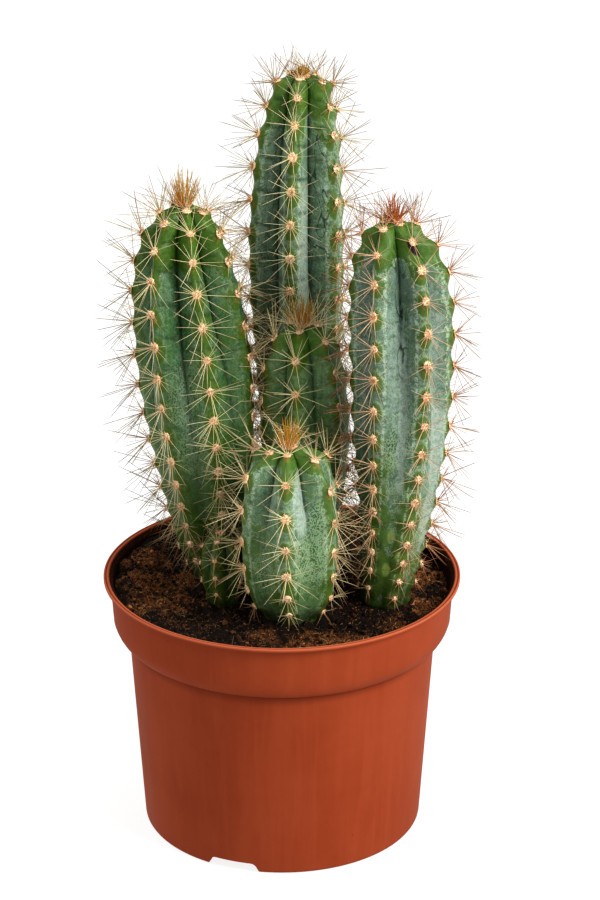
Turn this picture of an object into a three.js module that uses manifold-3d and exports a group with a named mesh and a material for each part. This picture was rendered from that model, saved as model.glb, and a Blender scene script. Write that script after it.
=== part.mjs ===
// Columnar cactus in a round nursery pot: five ribbed stems and one young offset in peat.
// Millimetres, +Z up, origin at the middle of the pot's base, the viewer on the -Y side.
// Azimuths are degrees from the front (-Y), growing towards +X.

import * as THREE from 'three';
import { mergeVertices } from 'three/addons/utils/BufferGeometryUtils.js';
import Module from 'manifold-3d';

const wasm = await Module();
wasm.setup();

// Pot
const POT_SIDES = 40;
const POT_HEIGHT = 127;
const LIP_RADIUS = 85;
const LIP_INNER_RADIUS = 81.2;
const LIP_HEIGHT = 1.8;
const BAND_TOP_RADIUS = 81.9;
const BAND_FOOT_RADIUS = 80.5;
const BAND_FOOT = 105;
const BEND_RADIUS = 78.5;
const BEND = 98;
const CREASE_RADIUS = 73.3;
const CREASE = 97;
const BASE_RADIUS = 66.8;
const BASE_ROUNDING = 2;
const WALL = 1.4;
const INSET_LIFT = 0.7;
const BEND_STEPS = 3;

// Underside of the pot: foot ring, raised drain channel with holes, flat middle
const FOOT_RING_INNER_RADIUS = 62.5;
const CHANNEL_INNER_RADIUS = 50;
const CHANNEL_HEIGHT = 5.2;
const FLOOR = 1.5;
const DRAIN_HOLES = 6;
const DRAIN_HOLE_RADIUS = 4;
const DRAIN_HOLE_SIDES = 8;
const NOTCHES = 3;
const NOTCH_AZIMUTH = -20;
const NOTCH_TOP_WIDTH = 22;
const NOTCH_FOOT_WIDTH = 28;
const NOTCH_HEIGHT = 4.7;
const NOTCH_OVERSHOOT = 1;
const NOTCH_START = 58;
const NOTCH_DEPTH = 14;

// Soil
const GAP = 0.3;
const SOIL_EDGE = 117.6;
const SOIL_MOUND = 3;
const SOIL_RINGS = [64, 44, 22];
const CLOD_HEIGHT = 0.6;
const CLOD_WIDTH = 5.2;
const CLOD_LENGTH = 6.5;
const CLOD_SLANT = 3.5;
const HEAP = { x: -52, y: 46, height: 3.2, radius: 26, from: 52, to: 74 };
const ROOT_BOTTOM = 98;

// Areoles and spines
const AREOLE_RADIUS = 1;
const AREOLE_RISE = 0.5;
const AREOLE_SINK = 0.25;
const AREOLE_SIDES = 6;
const FOOT_SPACING = 8.6;
const FULL_SPACING_AT = 0.6;
const CROWN_ZONE = 45;
const LAST_AREOLE_CLEARANCE = 3.2;
const LAST_NOTCH_CLEARANCE = 1.2;
const STEP_PARTS = 20;
const CREST_SAMPLES = 400;
const SPINE_MIN = 9;
const SPINE_MAX = 16;
const SPINE_ROOT_RADIUS = 0.75;
const CROWN_SPINE_ROOT_RADIUS = 1.3;
const SPINE_TIP_RADIUS = 0.1;
const MIN_TILT = 16;
const MAX_TILT = 46;
const SECTOR_JITTER = 20;
const SPINE_SHARE = 0.83;
const CROWN_RISE = 0.4;
const CROWN_TILT_MIN = 6;
const CROWN_TILT_MAX = 42;

// Ribs: where the flank's shoulder is, and where the dips between areoles are
const SHOULDER_AT = 0.45;
const SHOULDER_DEPTH = 0.38;
const NOTCH_AT = 0.62;
const NOTCH_FADE = 0.3;

// Room that a spine keeps to its surroundings
const BODY_CLEARANCE = 1.3;
const OWN_BODY_CLEARANCE = 0.4;
const SPINE_CLEARANCE = 0.25;
const SOIL_CLEARANCE = 1;
const POT_CLEARANCE = 2;
const CHECKED_FROM = 0.15;
const CHECKED_EVERY = 0.085;
const OWN_BODY_CHECKED_FROM = 0.3;
const SHORTENINGS = [1, 0.8, 0.6, 0.42, 0.28];
const EXTRA_TILTS = [0, 10, 20, 30];
const STEEPEST_TILT = 82;

// Stems: crest girth as [radius, height] from the crown down to the soil, and centre line as
// [height, x, y] from the soil up. rib is the azimuth of one rib at the crown, and twist turns the
// foot. groove is its depth as a share of the crest radius at the crown and at the foot, and the
// shares of the height between which it changes. notch is the dip above an areole at the crown and
// lower down, and tuft the least and greatest length of the crown's spines. Areoles lie first below
// the crown, then young apart, then spacing apart, and each rib's row starts a share of a step
// after its neighbour's.
const STEMS = [
  {
    name: 'stem_tall', ribs: 6, rib: -7, twist: 0, colour: '#3f7350',
    groove: [0.46, 0.14, 0.25, 1.1], notch: [1.5, 0.7], tuft: [5, 8],
    first: 5, young: 9.8, spacing: 16.2, share: 1 / 2,
    girth: [[2.6, 359.5], [9.8, 357], [13.8, 352], [16.6, 342], [21, 325], [23.6, 294], [24.3, 268],
      [22.9, 231], [20, 180], [15, 140], [12.5, 123]],
    centre: [[123, 8.6, 51], [200, 7.9, 51.6], [270, 6.9, 52.2], [320, 7.6, 52.5], [360, 9.6, 52.8]],
  },
  {
    name: 'stem_left', ribs: 7, rib: 13, twist: 6, colour: '#3d6b3c',
    groove: [0.48, 0.12, 0.1, 0.6], notch: [1.1, 0.7], tuft: [12, 17],
    first: 4, young: 11, spacing: 15.6, share: 2 / 7,
    girth: [[2.6, 308.5], [10.6, 304.5], [17.5, 296.5], [22.8, 281], [26.4, 261], [27.9, 230],
      [26.3, 202], [22.5, 171], [17, 140], [13.2, 123]],
    centre: [[123, -30, 8], [140, -32.6, 8], [171, -35, 8], [200, -37.4, 8], [240, -40.6, 8],
      [285, -45, 8], [309, -44.6, 8]],
  },
  {
    name: 'stem_right', ribs: 6, rib: 29, twist: -13, colour: '#4a7860',
    groove: [0.46, 0.12, 0.15, 0.75], notch: [1.3, 1.2], tuft: [8, 13],
    first: 3, young: 11, spacing: 15.4, share: 1 / 2,
    girth: [[2.8, 311.5], [12.4, 307], [20.6, 291], [23.4, 274], [24.2, 258], [22.7, 212],
      [19.6, 182], [15.6, 151], [12.4, 123]],
    centre: [[123, 48.8, -18], [136, 50.6, -18], [165, 53.4, -18], [212, 55.1, -18], [257, 55, -18],
      [290, 53.4, -18], [311, 50.8, -18]],
  },
  {
    name: 'stem_middle', ribs: 6, rib: -12, twist: 0, colour: '#44754a',
    groove: [0.42, 0.12, 0.15, 0.8], notch: [1, 0.6], tuft: [10, 15],
    first: 5, young: 14, spacing: 17, share: 1 / 2,
    girth: [[2.6, 250], [12.6, 245.5], [16.6, 238], [19.6, 228], [21.8, 200], [20.5, 172],
      [16.5, 143], [12.4, 123]],
    centre: [[123, 10.5, 10.5], [200, 11.2, 8.6], [250, 9.8, 7]],
  },
  {
    name: 'stem_front', ribs: 6, rib: -4, twist: 0, colour: '#568a66',
    groove: [0.5, 0.1, 0.02, 0.45], notch: [0.8, 0.5], tuft: [9, 14],
    first: 5.5, young: 16, spacing: 16.5, share: 0.42,
    girth: [[2.6, 209.5], [14.6, 205], [20.8, 197.4], [23.8, 183], [24.1, 168], [23, 145],
      [20.6, 132.5], [17, 126.5], [13.8, 122]],
    centre: [[122, 5, -34], [145, 4.4, -36.5], [176, 3.8, -39.6], [209, 3.4, -43]],
  },
  {
    name: 'stem_offset', ribs: 5, rib: -20, twist: 0, colour: '#3f7a36',
    groove: [0.36, 0.12, 0.2, 0.9], notch: [0.5, 0.4], tuft: [5, 8],
    first: 4.5, young: 8.5, spacing: 10, share: 2 / 5,
    girth: [[2, 156.5], [6.8, 153.5], [9.6, 147], [10.2, 138], [9.4, 129], [8, 122]],
    centre: [[122, -27.2, -20.5], [156, -28, -22]],
  },
];

// Colours
const POT_COLOUR = '#b5502f';
const SOIL_COLOUR = '#35241a';

// Seeded random draws
function makeRandom(seed) {
  let state = seed;
  return () => {
    state = (state + 0x6d2b79f5) | 0;
    let t = Math.imul(state ^ (state >>> 15), 1 | state);
    t = (t + Math.imul(t ^ (t >>> 7), 61 | t)) ^ t;
    return ((t ^ (t >>> 14)) >>> 0) / 4294967296;
  };
}

const random = makeRandom(20);
const between = (low, high) => low + (high - low) * random();
const radians = THREE.MathUtils.degToRad;

// A unit vector away from the axis at an azimuth
function outward(azimuth) {
  const angle = radians(azimuth);
  return new THREE.Vector3(Math.sin(angle), -Math.cos(angle), 0);
}

// Solids and booleans
function toSolid(geometry) {
  const bare = geometry.clone();
  bare.deleteAttribute('normal');
  bare.deleteAttribute('uv');
  const merged = mergeVertices(bare, 1e-4);
  const index = merged.index.array;
  const triangles = [];
  for (let i = 0; i < index.length; i += 3) {
    const [a, b, c] = [index[i], index[i + 1], index[i + 2]];
    if (a !== b && b !== c && c !== a) {
      triangles.push(a, b, c);
    }
  }
  const mesh = new wasm.Mesh({
    numProp: 3,
    vertProperties: new Float32Array(merged.attributes.position.array),
    triVerts: new Uint32Array(triangles),
  });
  return new wasm.Manifold(mesh);
}

function toGeometry(solid) {
  const mesh = solid.getMesh();
  const geometry = new THREE.BufferGeometry();
  geometry.setAttribute('position', new THREE.BufferAttribute(mesh.vertProperties, 3));
  geometry.setIndex(new THREE.BufferAttribute(mesh.triVerts, 1));
  geometry.computeVertexNormals();
  return geometry;
}

function lathe(points) {
  const geometry = new THREE.LatheGeometry(points, POT_SIDES);
  geometry.rotateX(Math.PI / 2);
  return geometry;
}

// Outer line of the pot's wall from low to high, moved inwards by inset
function wallLine(inset, low, high) {
  const lift = inset * INSET_LIFT;
  const slope = (CREASE_RADIUS - BASE_RADIUS) / CREASE;
  const flare = (BAND_TOP_RADIUS - BAND_FOOT_RADIUS) / (POT_HEIGHT - LIP_HEIGHT - BAND_FOOT);
  const line = new THREE.Path();
  line.moveTo(BASE_RADIUS + slope * low - inset, low);
  line.lineTo(CREASE_RADIUS - inset, CREASE + lift);
  line.quadraticCurveTo(
    BEND_RADIUS - inset, BEND + lift,
    BAND_FOOT_RADIUS - inset, BAND_FOOT + lift,
  );
  line.lineTo(BAND_FOOT_RADIUS + flare * (high - BAND_FOOT) - inset, high);
  return line.getPoints(BEND_STEPS);
}

function potGeometry() {
  const lipFoot = POT_HEIGHT - LIP_HEIGHT;
  const underside = [
    new THREE.Vector2(0, 0),
    new THREE.Vector2(CHANNEL_INNER_RADIUS, 0),
    new THREE.Vector2(CHANNEL_INNER_RADIUS, CHANNEL_HEIGHT),
    new THREE.Vector2(FOOT_RING_INNER_RADIUS, CHANNEL_HEIGHT),
    new THREE.Vector2(FOOT_RING_INNER_RADIUS, 0),
    new THREE.Vector2(BASE_RADIUS - BASE_ROUNDING, 0),
    new THREE.Vector2(BASE_RADIUS - BASE_ROUNDING / 4, BASE_ROUNDING / 3),
  ];
  const lip = [
    new THREE.Vector2(LIP_RADIUS, lipFoot + GAP),
    new THREE.Vector2(LIP_RADIUS, POT_HEIGHT - GAP),
    new THREE.Vector2(LIP_RADIUS - GAP, POT_HEIGHT),
    new THREE.Vector2(LIP_INNER_RADIUS, POT_HEIGHT),
  ];
  const inner = wallLine(WALL, CHANNEL_HEIGHT + FLOOR, lipFoot).reverse();
  const floor = [
    new THREE.Vector2(CHANNEL_INNER_RADIUS - FLOOR, CHANNEL_HEIGHT + FLOOR),
    new THREE.Vector2(CHANNEL_INNER_RADIUS - FLOOR, FLOOR),
    new THREE.Vector2(0, FLOOR),
  ];
  const outer = wallLine(0, BASE_ROUNDING, lipFoot);
  let pot = toSolid(lathe([...underside, ...outer, ...lip, ...inner, ...floor]));
  for (let i = 0; i < DRAIN_HOLES; i += 1) {
    pot = pot.subtract(drainHole(NOTCH_AZIMUTH + (360 / DRAIN_HOLES) * i));
  }
  for (let i = 0; i < NOTCHES; i += 1) {
    pot = pot.subtract(drainNotch(NOTCH_AZIMUTH + (360 / NOTCHES) * i));
  }
  return toGeometry(pot);
}

function drainHole(azimuth) {
  const hole = new THREE.CylinderGeometry(
    DRAIN_HOLE_RADIUS, DRAIN_HOLE_RADIUS, 4 * FLOOR, DRAIN_HOLE_SIDES,
  );
  hole.rotateX(Math.PI / 2);
  const place = outward(azimuth).multiplyScalar((CHANNEL_INNER_RADIUS + FOOT_RING_INNER_RADIUS) / 2);
  hole.translate(place.x, place.y, CHANNEL_HEIGHT + FLOOR / 2);
  return toSolid(hole);
}

// A cut through the foot ring, wider at the foot than at its top
function drainNotch(azimuth) {
  const outline = new THREE.Shape([
    new THREE.Vector2(-NOTCH_FOOT_WIDTH / 2, -NOTCH_OVERSHOOT),
    new THREE.Vector2(NOTCH_FOOT_WIDTH / 2, -NOTCH_OVERSHOOT),
    new THREE.Vector2(NOTCH_TOP_WIDTH / 2, NOTCH_HEIGHT),
    new THREE.Vector2(-NOTCH_TOP_WIDTH / 2, NOTCH_HEIGHT),
  ]);
  const notch = new THREE.ExtrudeGeometry(outline, { depth: NOTCH_DEPTH, bevelEnabled: false });
  notch.rotateX(Math.PI / 2);
  notch.translate(0, -NOTCH_START, 0);
  notch.rotateZ(radians(azimuth));
  return toSolid(notch);
}

// Height of the soil: a low mound with clods, heaped against the wall at the back left
function soilHeight(x, y) {
  const radius = Math.hypot(x, y);
  const share = Math.min(1, radius / BAND_FOOT_RADIUS);
  const fromHeap = Math.hypot(x - HEAP.x, y - HEAP.y) / HEAP.radius;
  const heap = HEAP.height * Math.exp(-(fromHeap ** 2))
    * THREE.MathUtils.smoothstep(radius, HEAP.from, HEAP.to);
  const clods = Math.sin(x / CLOD_WIDTH + 1) * Math.cos(y / CLOD_LENGTH)
    + Math.sin((x + y) / CLOD_SLANT) / 2;
  return SOIL_EDGE + SOIL_MOUND * (1 - share * share) + CLOD_HEIGHT * clods + heap;
}

function soilGeometry() {
  const inset = WALL + GAP;
  const floor = CHANNEL_HEIGHT + FLOOR + GAP;
  const step = CHANNEL_INNER_RADIUS - FLOOR - GAP;
  const wall = wallLine(inset, floor, SOIL_EDGE);
  const top = SOIL_RINGS.map((radius) => new THREE.Vector2(radius, SOIL_EDGE));
  const body = lathe([
    new THREE.Vector2(0, FLOOR + GAP),
    new THREE.Vector2(step, FLOOR + GAP),
    new THREE.Vector2(step, floor),
    ...wall,
    ...top,
    new THREE.Vector2(0, SOIL_EDGE),
  ]);
  const position = body.attributes.position;
  for (let i = 0; i < position.count; i += 1) {
    if (position.getZ(i) > SOIL_EDGE - 1e-3) {
      position.setZ(i, soilHeight(position.getX(i), position.getY(i)));
    }
  }
  let soil = toSolid(body);
  for (const stem of STEMS) {
    soil = soil.subtract(rootHole(stem));
  }
  return toGeometry(soil);
}

// A plain blind hole for a stem's foot, with a corner at each crest and groove
function rootHole(stem) {
  const [footRadius] = stem.girth.at(-1);
  const [, x, y] = stem.centre[0];
  const bottom = ROOT_BOTTOM - GAP;
  const height = POT_HEIGHT - bottom;
  const radius = footRadius + GAP;
  const hole = new THREE.CylinderGeometry(radius, radius, height, 2 * stem.ribs);
  hole.rotateX(Math.PI / 2);
  hole.rotateZ(radians(stem.rib + stem.twist));
  hole.translate(x, y, bottom + height / 2);
  return toSolid(hole);
}

// Slope of a column at a station; level at the lowest, so that each foot stands upright
function slopeAt(stations, i, column) {
  if (i === 0) {
    return 0;
  }
  const before = stations[i - 1];
  const after = stations[Math.min(i + 1, stations.length - 1)];
  return (after[column] - before[column]) / (after[0] - before[0]);
}

// Value of a column at a height: a smooth curve through the stations, constant below the lowest
function valueAt(stations, height, column) {
  if (height <= stations[0][0]) {
    return stations[0][column];
  }
  const above = stations.findIndex((station) => station[0] >= height);
  const i = above < 0 ? stations.length - 2 : above - 1;
  const low = stations[i];
  const high = stations[i + 1];
  const rise = high[0] - low[0];
  const t = (height - low[0]) / rise;
  const startSlope = slopeAt(stations, i, column) * rise;
  const endSlope = slopeAt(stations, i + 1, column) * rise;
  return (2 * t ** 3 - 3 * t ** 2 + 1) * low[column] + (3 * t ** 2 - 2 * t ** 3) * high[column]
    + (t ** 3 - 2 * t ** 2 + t) * startSlope + (t ** 3 - t ** 2) * endSlope;
}

function centreAt(stem, height) {
  return new THREE.Vector3(valueAt(stem.centre, height, 1), valueAt(stem.centre, height, 2), height);
}

// Crest line of each stem as radius and height, also as a finely sampled list from the crown down
for (const stem of STEMS) {
  stem.crest = new THREE.SplineCurve(
    stem.girth.map(([radius, height]) => new THREE.Vector2(radius, height)),
  );
  stem.crest.arcLengthDivisions = CREST_SAMPLES;
  stem.samples = stem.crest.getPoints(CREST_SAMPLES);
  stem.top = stem.girth[0][1];
  stem.foot = stem.girth.at(-1)[1];
}

function crestRadiusAt(stem, height) {
  const { samples } = stem;
  if (height >= stem.top) {
    return 0;
  }
  let low = 0;
  let high = samples.length - 1;
  while (high - low > 1) {
    const middle = (low + high) >> 1;
    if (samples[middle].y > height) {
      low = middle;
    } else {
      high = middle;
    }
  }
  return samples[low].x;
}

// Share of a stem's height above the soil that lies above a height
function shareBelowCrown(stem, height) {
  return THREE.MathUtils.clamp((stem.top - height) / (stem.top - stem.foot), 0, 1);
}

// Groove depth as a share of the crest radius
function grooveDepth(stem, height) {
  const [crown, foot, from, to] = stem.groove;
  const fall = THREE.MathUtils.smoothstep(shareBelowCrown(stem, height), from, to);
  return THREE.MathUtils.lerp(crown, foot, fall);
}

function notchDepth(stem, height) {
  const [crown, low] = stem.notch;
  return THREE.MathUtils.lerp(crown, low, Math.min(1, shareBelowCrown(stem, height) / NOTCH_FADE));
}

// Share of the crest radius at a place across a rib: 0 is the crest and 1 the groove
function ribFactor(across, depth) {
  if (across < SHOULDER_AT) {
    return 1 - SHOULDER_DEPTH * depth * (across / SHOULDER_AT);
  }
  const down = (across - SHOULDER_AT) / (1 - SHOULDER_AT);
  return 1 - depth * (SHOULDER_DEPTH + (1 - SHOULDER_DEPTH) * down);
}

// Azimuth of a rib at a height; 0.5 more is the groove after it
function ribAzimuth(stem, rib, height) {
  const share = shareBelowCrown(stem, height);
  return stem.rib + stem.twist * share * share + (360 / stem.ribs) * rib;
}

// Distance from a point to a stem's surface, measured level; negative inside
function outsideBy(stem, point) {
  if (point.z > stem.top + 2) {
    return Infinity;
  }
  const height = Math.min(point.z, stem.top - 0.5);
  const centre = centreAt(stem, height);
  const dx = point.x - centre.x;
  const dy = point.y - centre.y;
  const azimuth = THREE.MathUtils.radToDeg(Math.atan2(dx, -dy));
  const width = 360 / stem.ribs;
  const fromFirst = azimuth - ribAzimuth(stem, 0, height);
  const fromRib = THREE.MathUtils.euclideanModulo(fromFirst + width / 2, width) - width / 2;
  const across = Math.abs(fromRib) / (width / 2);
  const surface = crestRadiusAt(stem, height) * ribFactor(across, grooveDepth(stem, height));
  return Math.hypot(dx, dy) - surface;
}

// Ways along the crest at which the steps between areoles begin, from the first areole on
function stepTable(stem) {
  const length = stem.crest.getLength();
  const table = [];
  let along = stem.first;
  while (along < length) {
    table.push(along);
    const height = stem.crest.getPointAt(along / length).y;
    const share = (height - stem.foot) / (stem.top - stem.foot);
    const grown = THREE.MathUtils.lerp(
      FOOT_SPACING, stem.spacing, Math.min(1, share / FULL_SPACING_AT),
    );
    const spacing = THREE.MathUtils.lerp(stem.young, grown, Math.min(1, along / CROWN_ZONE));
    along += spacing / STEP_PARTS;
  }
  return table;
}

// Crest radius and height so many steps below the first areole, or null past the soil
function crestAtStep(stem, table, step) {
  const place = Math.max(0, step * STEP_PARTS);
  const before = Math.floor(place);
  if (before + 1 >= table.length) {
    return null;
  }
  const along = THREE.MathUtils.lerp(table[before], table[before + 1], place - before);
  return stem.crest.getPointAt(along / stem.crest.getLength());
}

// Spines already placed, as tapering lines
const placed = [];

function closestDistance(p1, q1, p2, q2) {
  const d1 = q1.clone().sub(p1);
  const d2 = q2.clone().sub(p2);
  const r = p1.clone().sub(p2);
  const a = d1.dot(d1);
  const e = d2.dot(d2);
  const f = d2.dot(r);
  const b = d1.dot(d2);
  const c = d1.dot(r);
  const clamp = THREE.MathUtils.clamp;
  const denominator = a * e - b * b;
  let s = denominator > 1e-9 ? clamp((b * f - c * e) / denominator, 0, 1) : 0;
  let t = (b * s + f) / e;
  if (t < 0) {
    t = 0;
    s = clamp(-c / a, 0, 1);
  } else if (t > 1) {
    t = 1;
    s = clamp((b - c) / a, 0, 1);
  }
  const gap = d1.multiplyScalar(s).add(p1).distanceTo(d2.multiplyScalar(t).add(p2));
  return { gap, s, t };
}

const taper = (thick, share) => THREE.MathUtils.lerp(thick, SPINE_TIP_RADIUS, share);

function clearOfSpines(root, tip, thick, areole) {
  return placed.every((other) => {
    if (other.areole === areole || other.root.distanceTo(root) > 2 * SPINE_MAX + 2) {
      return true;
    }
    const { gap, s, t } = closestDistance(root, tip, other.root, other.tip);
    return gap > taper(thick, s) + taper(other.thick, t) + SPINE_CLEARANCE;
  });
}

function clearOfBodies(root, tip, owner) {
  const point = new THREE.Vector3();
  for (let share = CHECKED_FROM; share <= 1; share += CHECKED_EVERY) {
    point.lerpVectors(root, tip, share);
    if (point.z < soilHeight(point.x, point.y) + SOIL_CLEARANCE) {
      return false;
    }
    if (point.z < POT_HEIGHT + POT_CLEARANCE && Math.hypot(point.x, point.y) > BEND_RADIUS) {
      return false;
    }
    for (const stem of STEMS) {
      const clearance = stem === owner ? OWN_BODY_CLEARANCE : BODY_CLEARANCE;
      const checked = stem !== owner || share > OWN_BODY_CHECKED_FROM;
      if (checked && outsideBy(stem, point) < clearance) {
        return false;
      }
    }
  }
  return true;
}

// A spine's tip: the first of some seeded tries, ever steeper and shorter, that is clear
function findTip(root, along, normal, tiltRange, length, thick, owner, areole) {
  for (const shortening of SHORTENINGS) {
    for (const extraTilt of EXTRA_TILTS) {
      const direction = along();
      const tilt = radians(Math.min(STEEPEST_TILT, between(...tiltRange) + extraTilt));
      const tip = direction.multiplyScalar(Math.cos(tilt)).addScaledVector(normal, Math.sin(tilt));
      tip.multiplyScalar(length * shortening).add(root);
      if (clearOfBodies(root, tip, owner) && clearOfSpines(root, tip, thick, areole)) {
        placed.push({ root, tip, thick, areole });
        return tip;
      }
    }
  }
  return null;
}

// Collects a closed surface
class Surface {
  constructor() {
    this.points = [];
    this.triangles = [];
  }

  point(vector) {
    this.points.push(vector.x, vector.y, vector.z);
    return this.points.length / 3 - 1;
  }

  triangle(a, b, c) {
    if (a !== b && b !== c && c !== a) {
      this.triangles.push(a, b, c);
    }
  }

  spike(a, b, c, tip) {
    if (tip === null) {
      this.triangle(a, b, c);
      return;
    }
    const top = this.point(tip);
    this.triangle(a, b, top);
    this.triangle(b, c, top);
    this.triangle(c, a, top);
  }

  // Fills the strip between two lines of [row, point], the left one first
  strip(left, right) {
    let i = 0;
    let j = 0;
    while (i < left.length - 1 || j < right.length - 1) {
      const nextLeft = i < left.length - 1 ? left[i + 1][0] : Infinity;
      const nextRight = j < right.length - 1 ? right[j + 1][0] : Infinity;
      if (nextLeft <= nextRight) {
        this.triangle(left[i][1], left[i + 1][1], right[j][1]);
        i += 1;
      } else {
        this.triangle(left[i][1], right[j + 1][1], right[j][1]);
        j += 1;
      }
    }
  }

  geometry() {
    const geometry = new THREE.BufferGeometry();
    geometry.setAttribute('position', new THREE.Float32BufferAttribute(this.points, 3));
    geometry.setIndex(this.triangles);
    geometry.computeVertexNormals();
    return geometry;
  }
}

// Rows of one rib: its crown end, areoles and the notches between them, and its foot
function ribRows(stem, table, rib) {
  const crown = { step: -Infinity, at: stem.crest.getPointAt(0), kind: 'end' };
  const foot = { step: table.length, at: stem.crest.getPointAt(1), kind: 'end' };
  const rows = [crown];
  for (let step = (rib * stem.share) % 1; ; step += 1) {
    const areole = crestAtStep(stem, table, step);
    if (areole === null || areole.y < stem.foot + LAST_AREOLE_CLEARANCE) {
      break;
    }
    rows.push({ step, at: areole, kind: 'areole' });
    const notch = crestAtStep(stem, table, step + NOTCH_AT);
    if (notch !== null && notch.y > stem.foot + LAST_NOTCH_CLEARANCE) {
      rows.push({ step: step + NOTCH_AT, at: notch, kind: 'notch' });
    }
  }
  rows.push(foot);
  return rows;
}

// A point on the ribbed body; across is -1 and 1 at the grooves beside the rib
function bodyPoint(stem, at, rib, across, dip = 0) {
  const { x: radius, y: height } = at;
  const factor = ribFactor(Math.abs(across), grooveDepth(stem, height));
  return outward(ribAzimuth(stem, rib + across / 2, height))
    .multiplyScalar(radius * factor - dip)
    .add(centreAt(stem, height));
}

function stemGeometry(stem) {
  const surface = new Surface();
  const table = stepTable(stem);
  const [footRadius] = stem.girth.at(-1);
  const rootStep = table.length + 1;
  const rootPoint = (rib) => surface.point(
    outward(ribAzimuth(stem, rib, stem.foot))
      .multiplyScalar(footRadius)
      .add(centreAt(stem, ROOT_BOTTOM)),
  );

  // Grooves, shared by the ribs on both sides
  const grooves = [];
  for (let rib = 0; rib < stem.ribs; rib += 1) {
    const ends = ribRows(stem, table, rib).filter((row) => row.kind === 'end');
    const line = [[ends[0].step, surface.point(bodyPoint(stem, ends[0].at, rib, 1))]];
    for (let step = 0; ; step += 1) {
      const at = crestAtStep(stem, table, step);
      if (at === null || at.y < stem.foot + LAST_AREOLE_CLEARANCE) {
        break;
      }
      line.push([step, surface.point(bodyPoint(stem, at, rib, 1))]);
    }
    line.push([ends[1].step, surface.point(bodyPoint(stem, ends[1].at, rib, 1))]);
    line.push([rootStep, rootPoint(rib + 0.5)]);
    grooves.push(line);
  }

  const crownRing = [];
  const rootRing = [];
  for (let rib = 0; rib < stem.ribs; rib += 1) {
    const before = grooves[(rib + stem.ribs - 1) % stem.ribs];
    const after = grooves[rib];
    const rows = ribRows(stem, table, rib);
    for (const row of rows) {
      if (row.kind !== 'areole') {
        const dip = row.kind === 'notch' ? notchDepth(stem, row.at.y) : 0;
        row.crest = surface.point(bodyPoint(stem, row.at, rib, 0, dip));
        row.left = surface.point(bodyPoint(stem, row.at, rib, -SHOULDER_AT));
        row.right = surface.point(bodyPoint(stem, row.at, rib, SHOULDER_AT));
      }
    }
    const root = rootPoint(rib);
    rows.push({ step: rootStep, kind: 'end', crest: root, left: root, right: root });
    const solid = rows.filter((row) => row.kind !== 'areole');
    surface.strip(before, solid.map((row) => [row.step, row.left]));
    surface.strip(solid.map((row) => [row.step, row.right]), after);
    rows.forEach((row, i) => {
      const next = rows[i + 1];
      if (row.kind === 'areole') {
        areole(surface, stem, rib, rows[i - 1], row, next);
      } else if (next && next.kind !== 'areole') {
        const pair = (side) => [[row.step, row[side]], [next.step, next[side]]];
        surface.strip(pair('left'), pair('crest'));
        surface.strip(pair('crest'), pair('right'));
      }
    });
    crownRing.push(rows[0].left, rows[0].crest, rows[0].right, after[0][1]);
    rootRing.push(root, after.at(-1)[1]);
  }

  crown(surface, stem, crownRing);
  const bottom = surface.point(centreAt(stem, ROOT_BOTTOM));
  rootRing.forEach((point, i) => {
    surface.triangle(bottom, rootRing[(i + 1) % rootRing.length], point);
  });
  return surface.geometry();
}

// A raised pad on a crest whose faces are drawn out into spines
function areole(surface, stem, rib, above, row, below) {
  const place = bodyPoint(stem, row.at, rib, 0);
  const azimuth = ribAzimuth(stem, rib, row.at.y);
  const outline = [
    above.crest, above.right, below.right, below.crest, below.left, above.left,
  ];
  const side = outward(azimuth + 90);
  const up = outward(azimuth).multiplyScalar(above.at.x - below.at.x);
  up.z = above.at.y - below.at.y;
  up.normalize();
  const normal = side.clone().cross(up).normalize();
  const sector = 360 / AREOLE_SIDES;
  const towards = (angle) => up.clone().multiplyScalar(Math.cos(radians(angle)))
    .addScaledVector(side, Math.sin(radians(angle)));

  const top = surface.point(place.clone().addScaledVector(normal, AREOLE_RISE));
  const ring = outline.map((_, i) => surface.point(
    towards(sector * i).multiplyScalar(AREOLE_RADIUS).addScaledVector(normal, -AREOLE_SINK).add(place),
  ));
  const key = Symbol('areole');
  ring.forEach((point, i) => {
    const next = (i + 1) % ring.length;
    surface.triangle(point, ring[next], outline[next]);
    surface.triangle(point, outline[next], outline[i]);
    const along = () => towards(sector * (i + 0.5) + between(-SECTOR_JITTER, SECTOR_JITTER));
    const length = between(SPINE_MIN, SPINE_MAX);
    const drawn = random() < SPINE_SHARE;
    const tip = drawn
      ? findTip(place, along, normal, [MIN_TILT, MAX_TILT], length, SPINE_ROOT_RADIUS, stem, key)
      : null;
    surface.spike(top, ring[next], point, tip);
  });
}

// The closed crown with its upright tuft of spines
function crown(surface, stem, ring) {
  const middle = centreAt(stem, stem.top + CROWN_RISE);
  const centre = surface.point(middle);
  const up = new THREE.Vector3(0, 0, 1);
  const crownTilt = [90 - CROWN_TILT_MAX, 90 - CROWN_TILT_MIN];
  const width = 360 / ring.length;
  const key = Symbol('crown');
  ring.forEach((point, i) => {
    const next = ring[(i + 1) % ring.length];
    if (i % 2 === 1) {
      surface.triangle(centre, point, next);
      return;
    }
    const azimuth = stem.rib + width * (i - 0.5);
    const along = () => outward(azimuth + between(-width / 3, width / 3));
    const root = middle.clone().addScaledVector(outward(azimuth), CROWN_SPINE_ROOT_RADIUS);
    const length = between(...stem.tuft);
    const tip = findTip(root, along, up, crownTilt, length, CROWN_SPINE_ROOT_RADIUS, stem, key);
    surface.spike(centre, point, next, tip);
  });
}

function material(colour, roughness) {
  return new THREE.MeshStandardMaterial({ color: colour, roughness, metalness: 0, flatShading: true });
}

function addPart(group, name, geometry, look) {
  const mesh = new THREE.Mesh(geometry, look);
  mesh.name = name;
  group.add(mesh);
}

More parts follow.
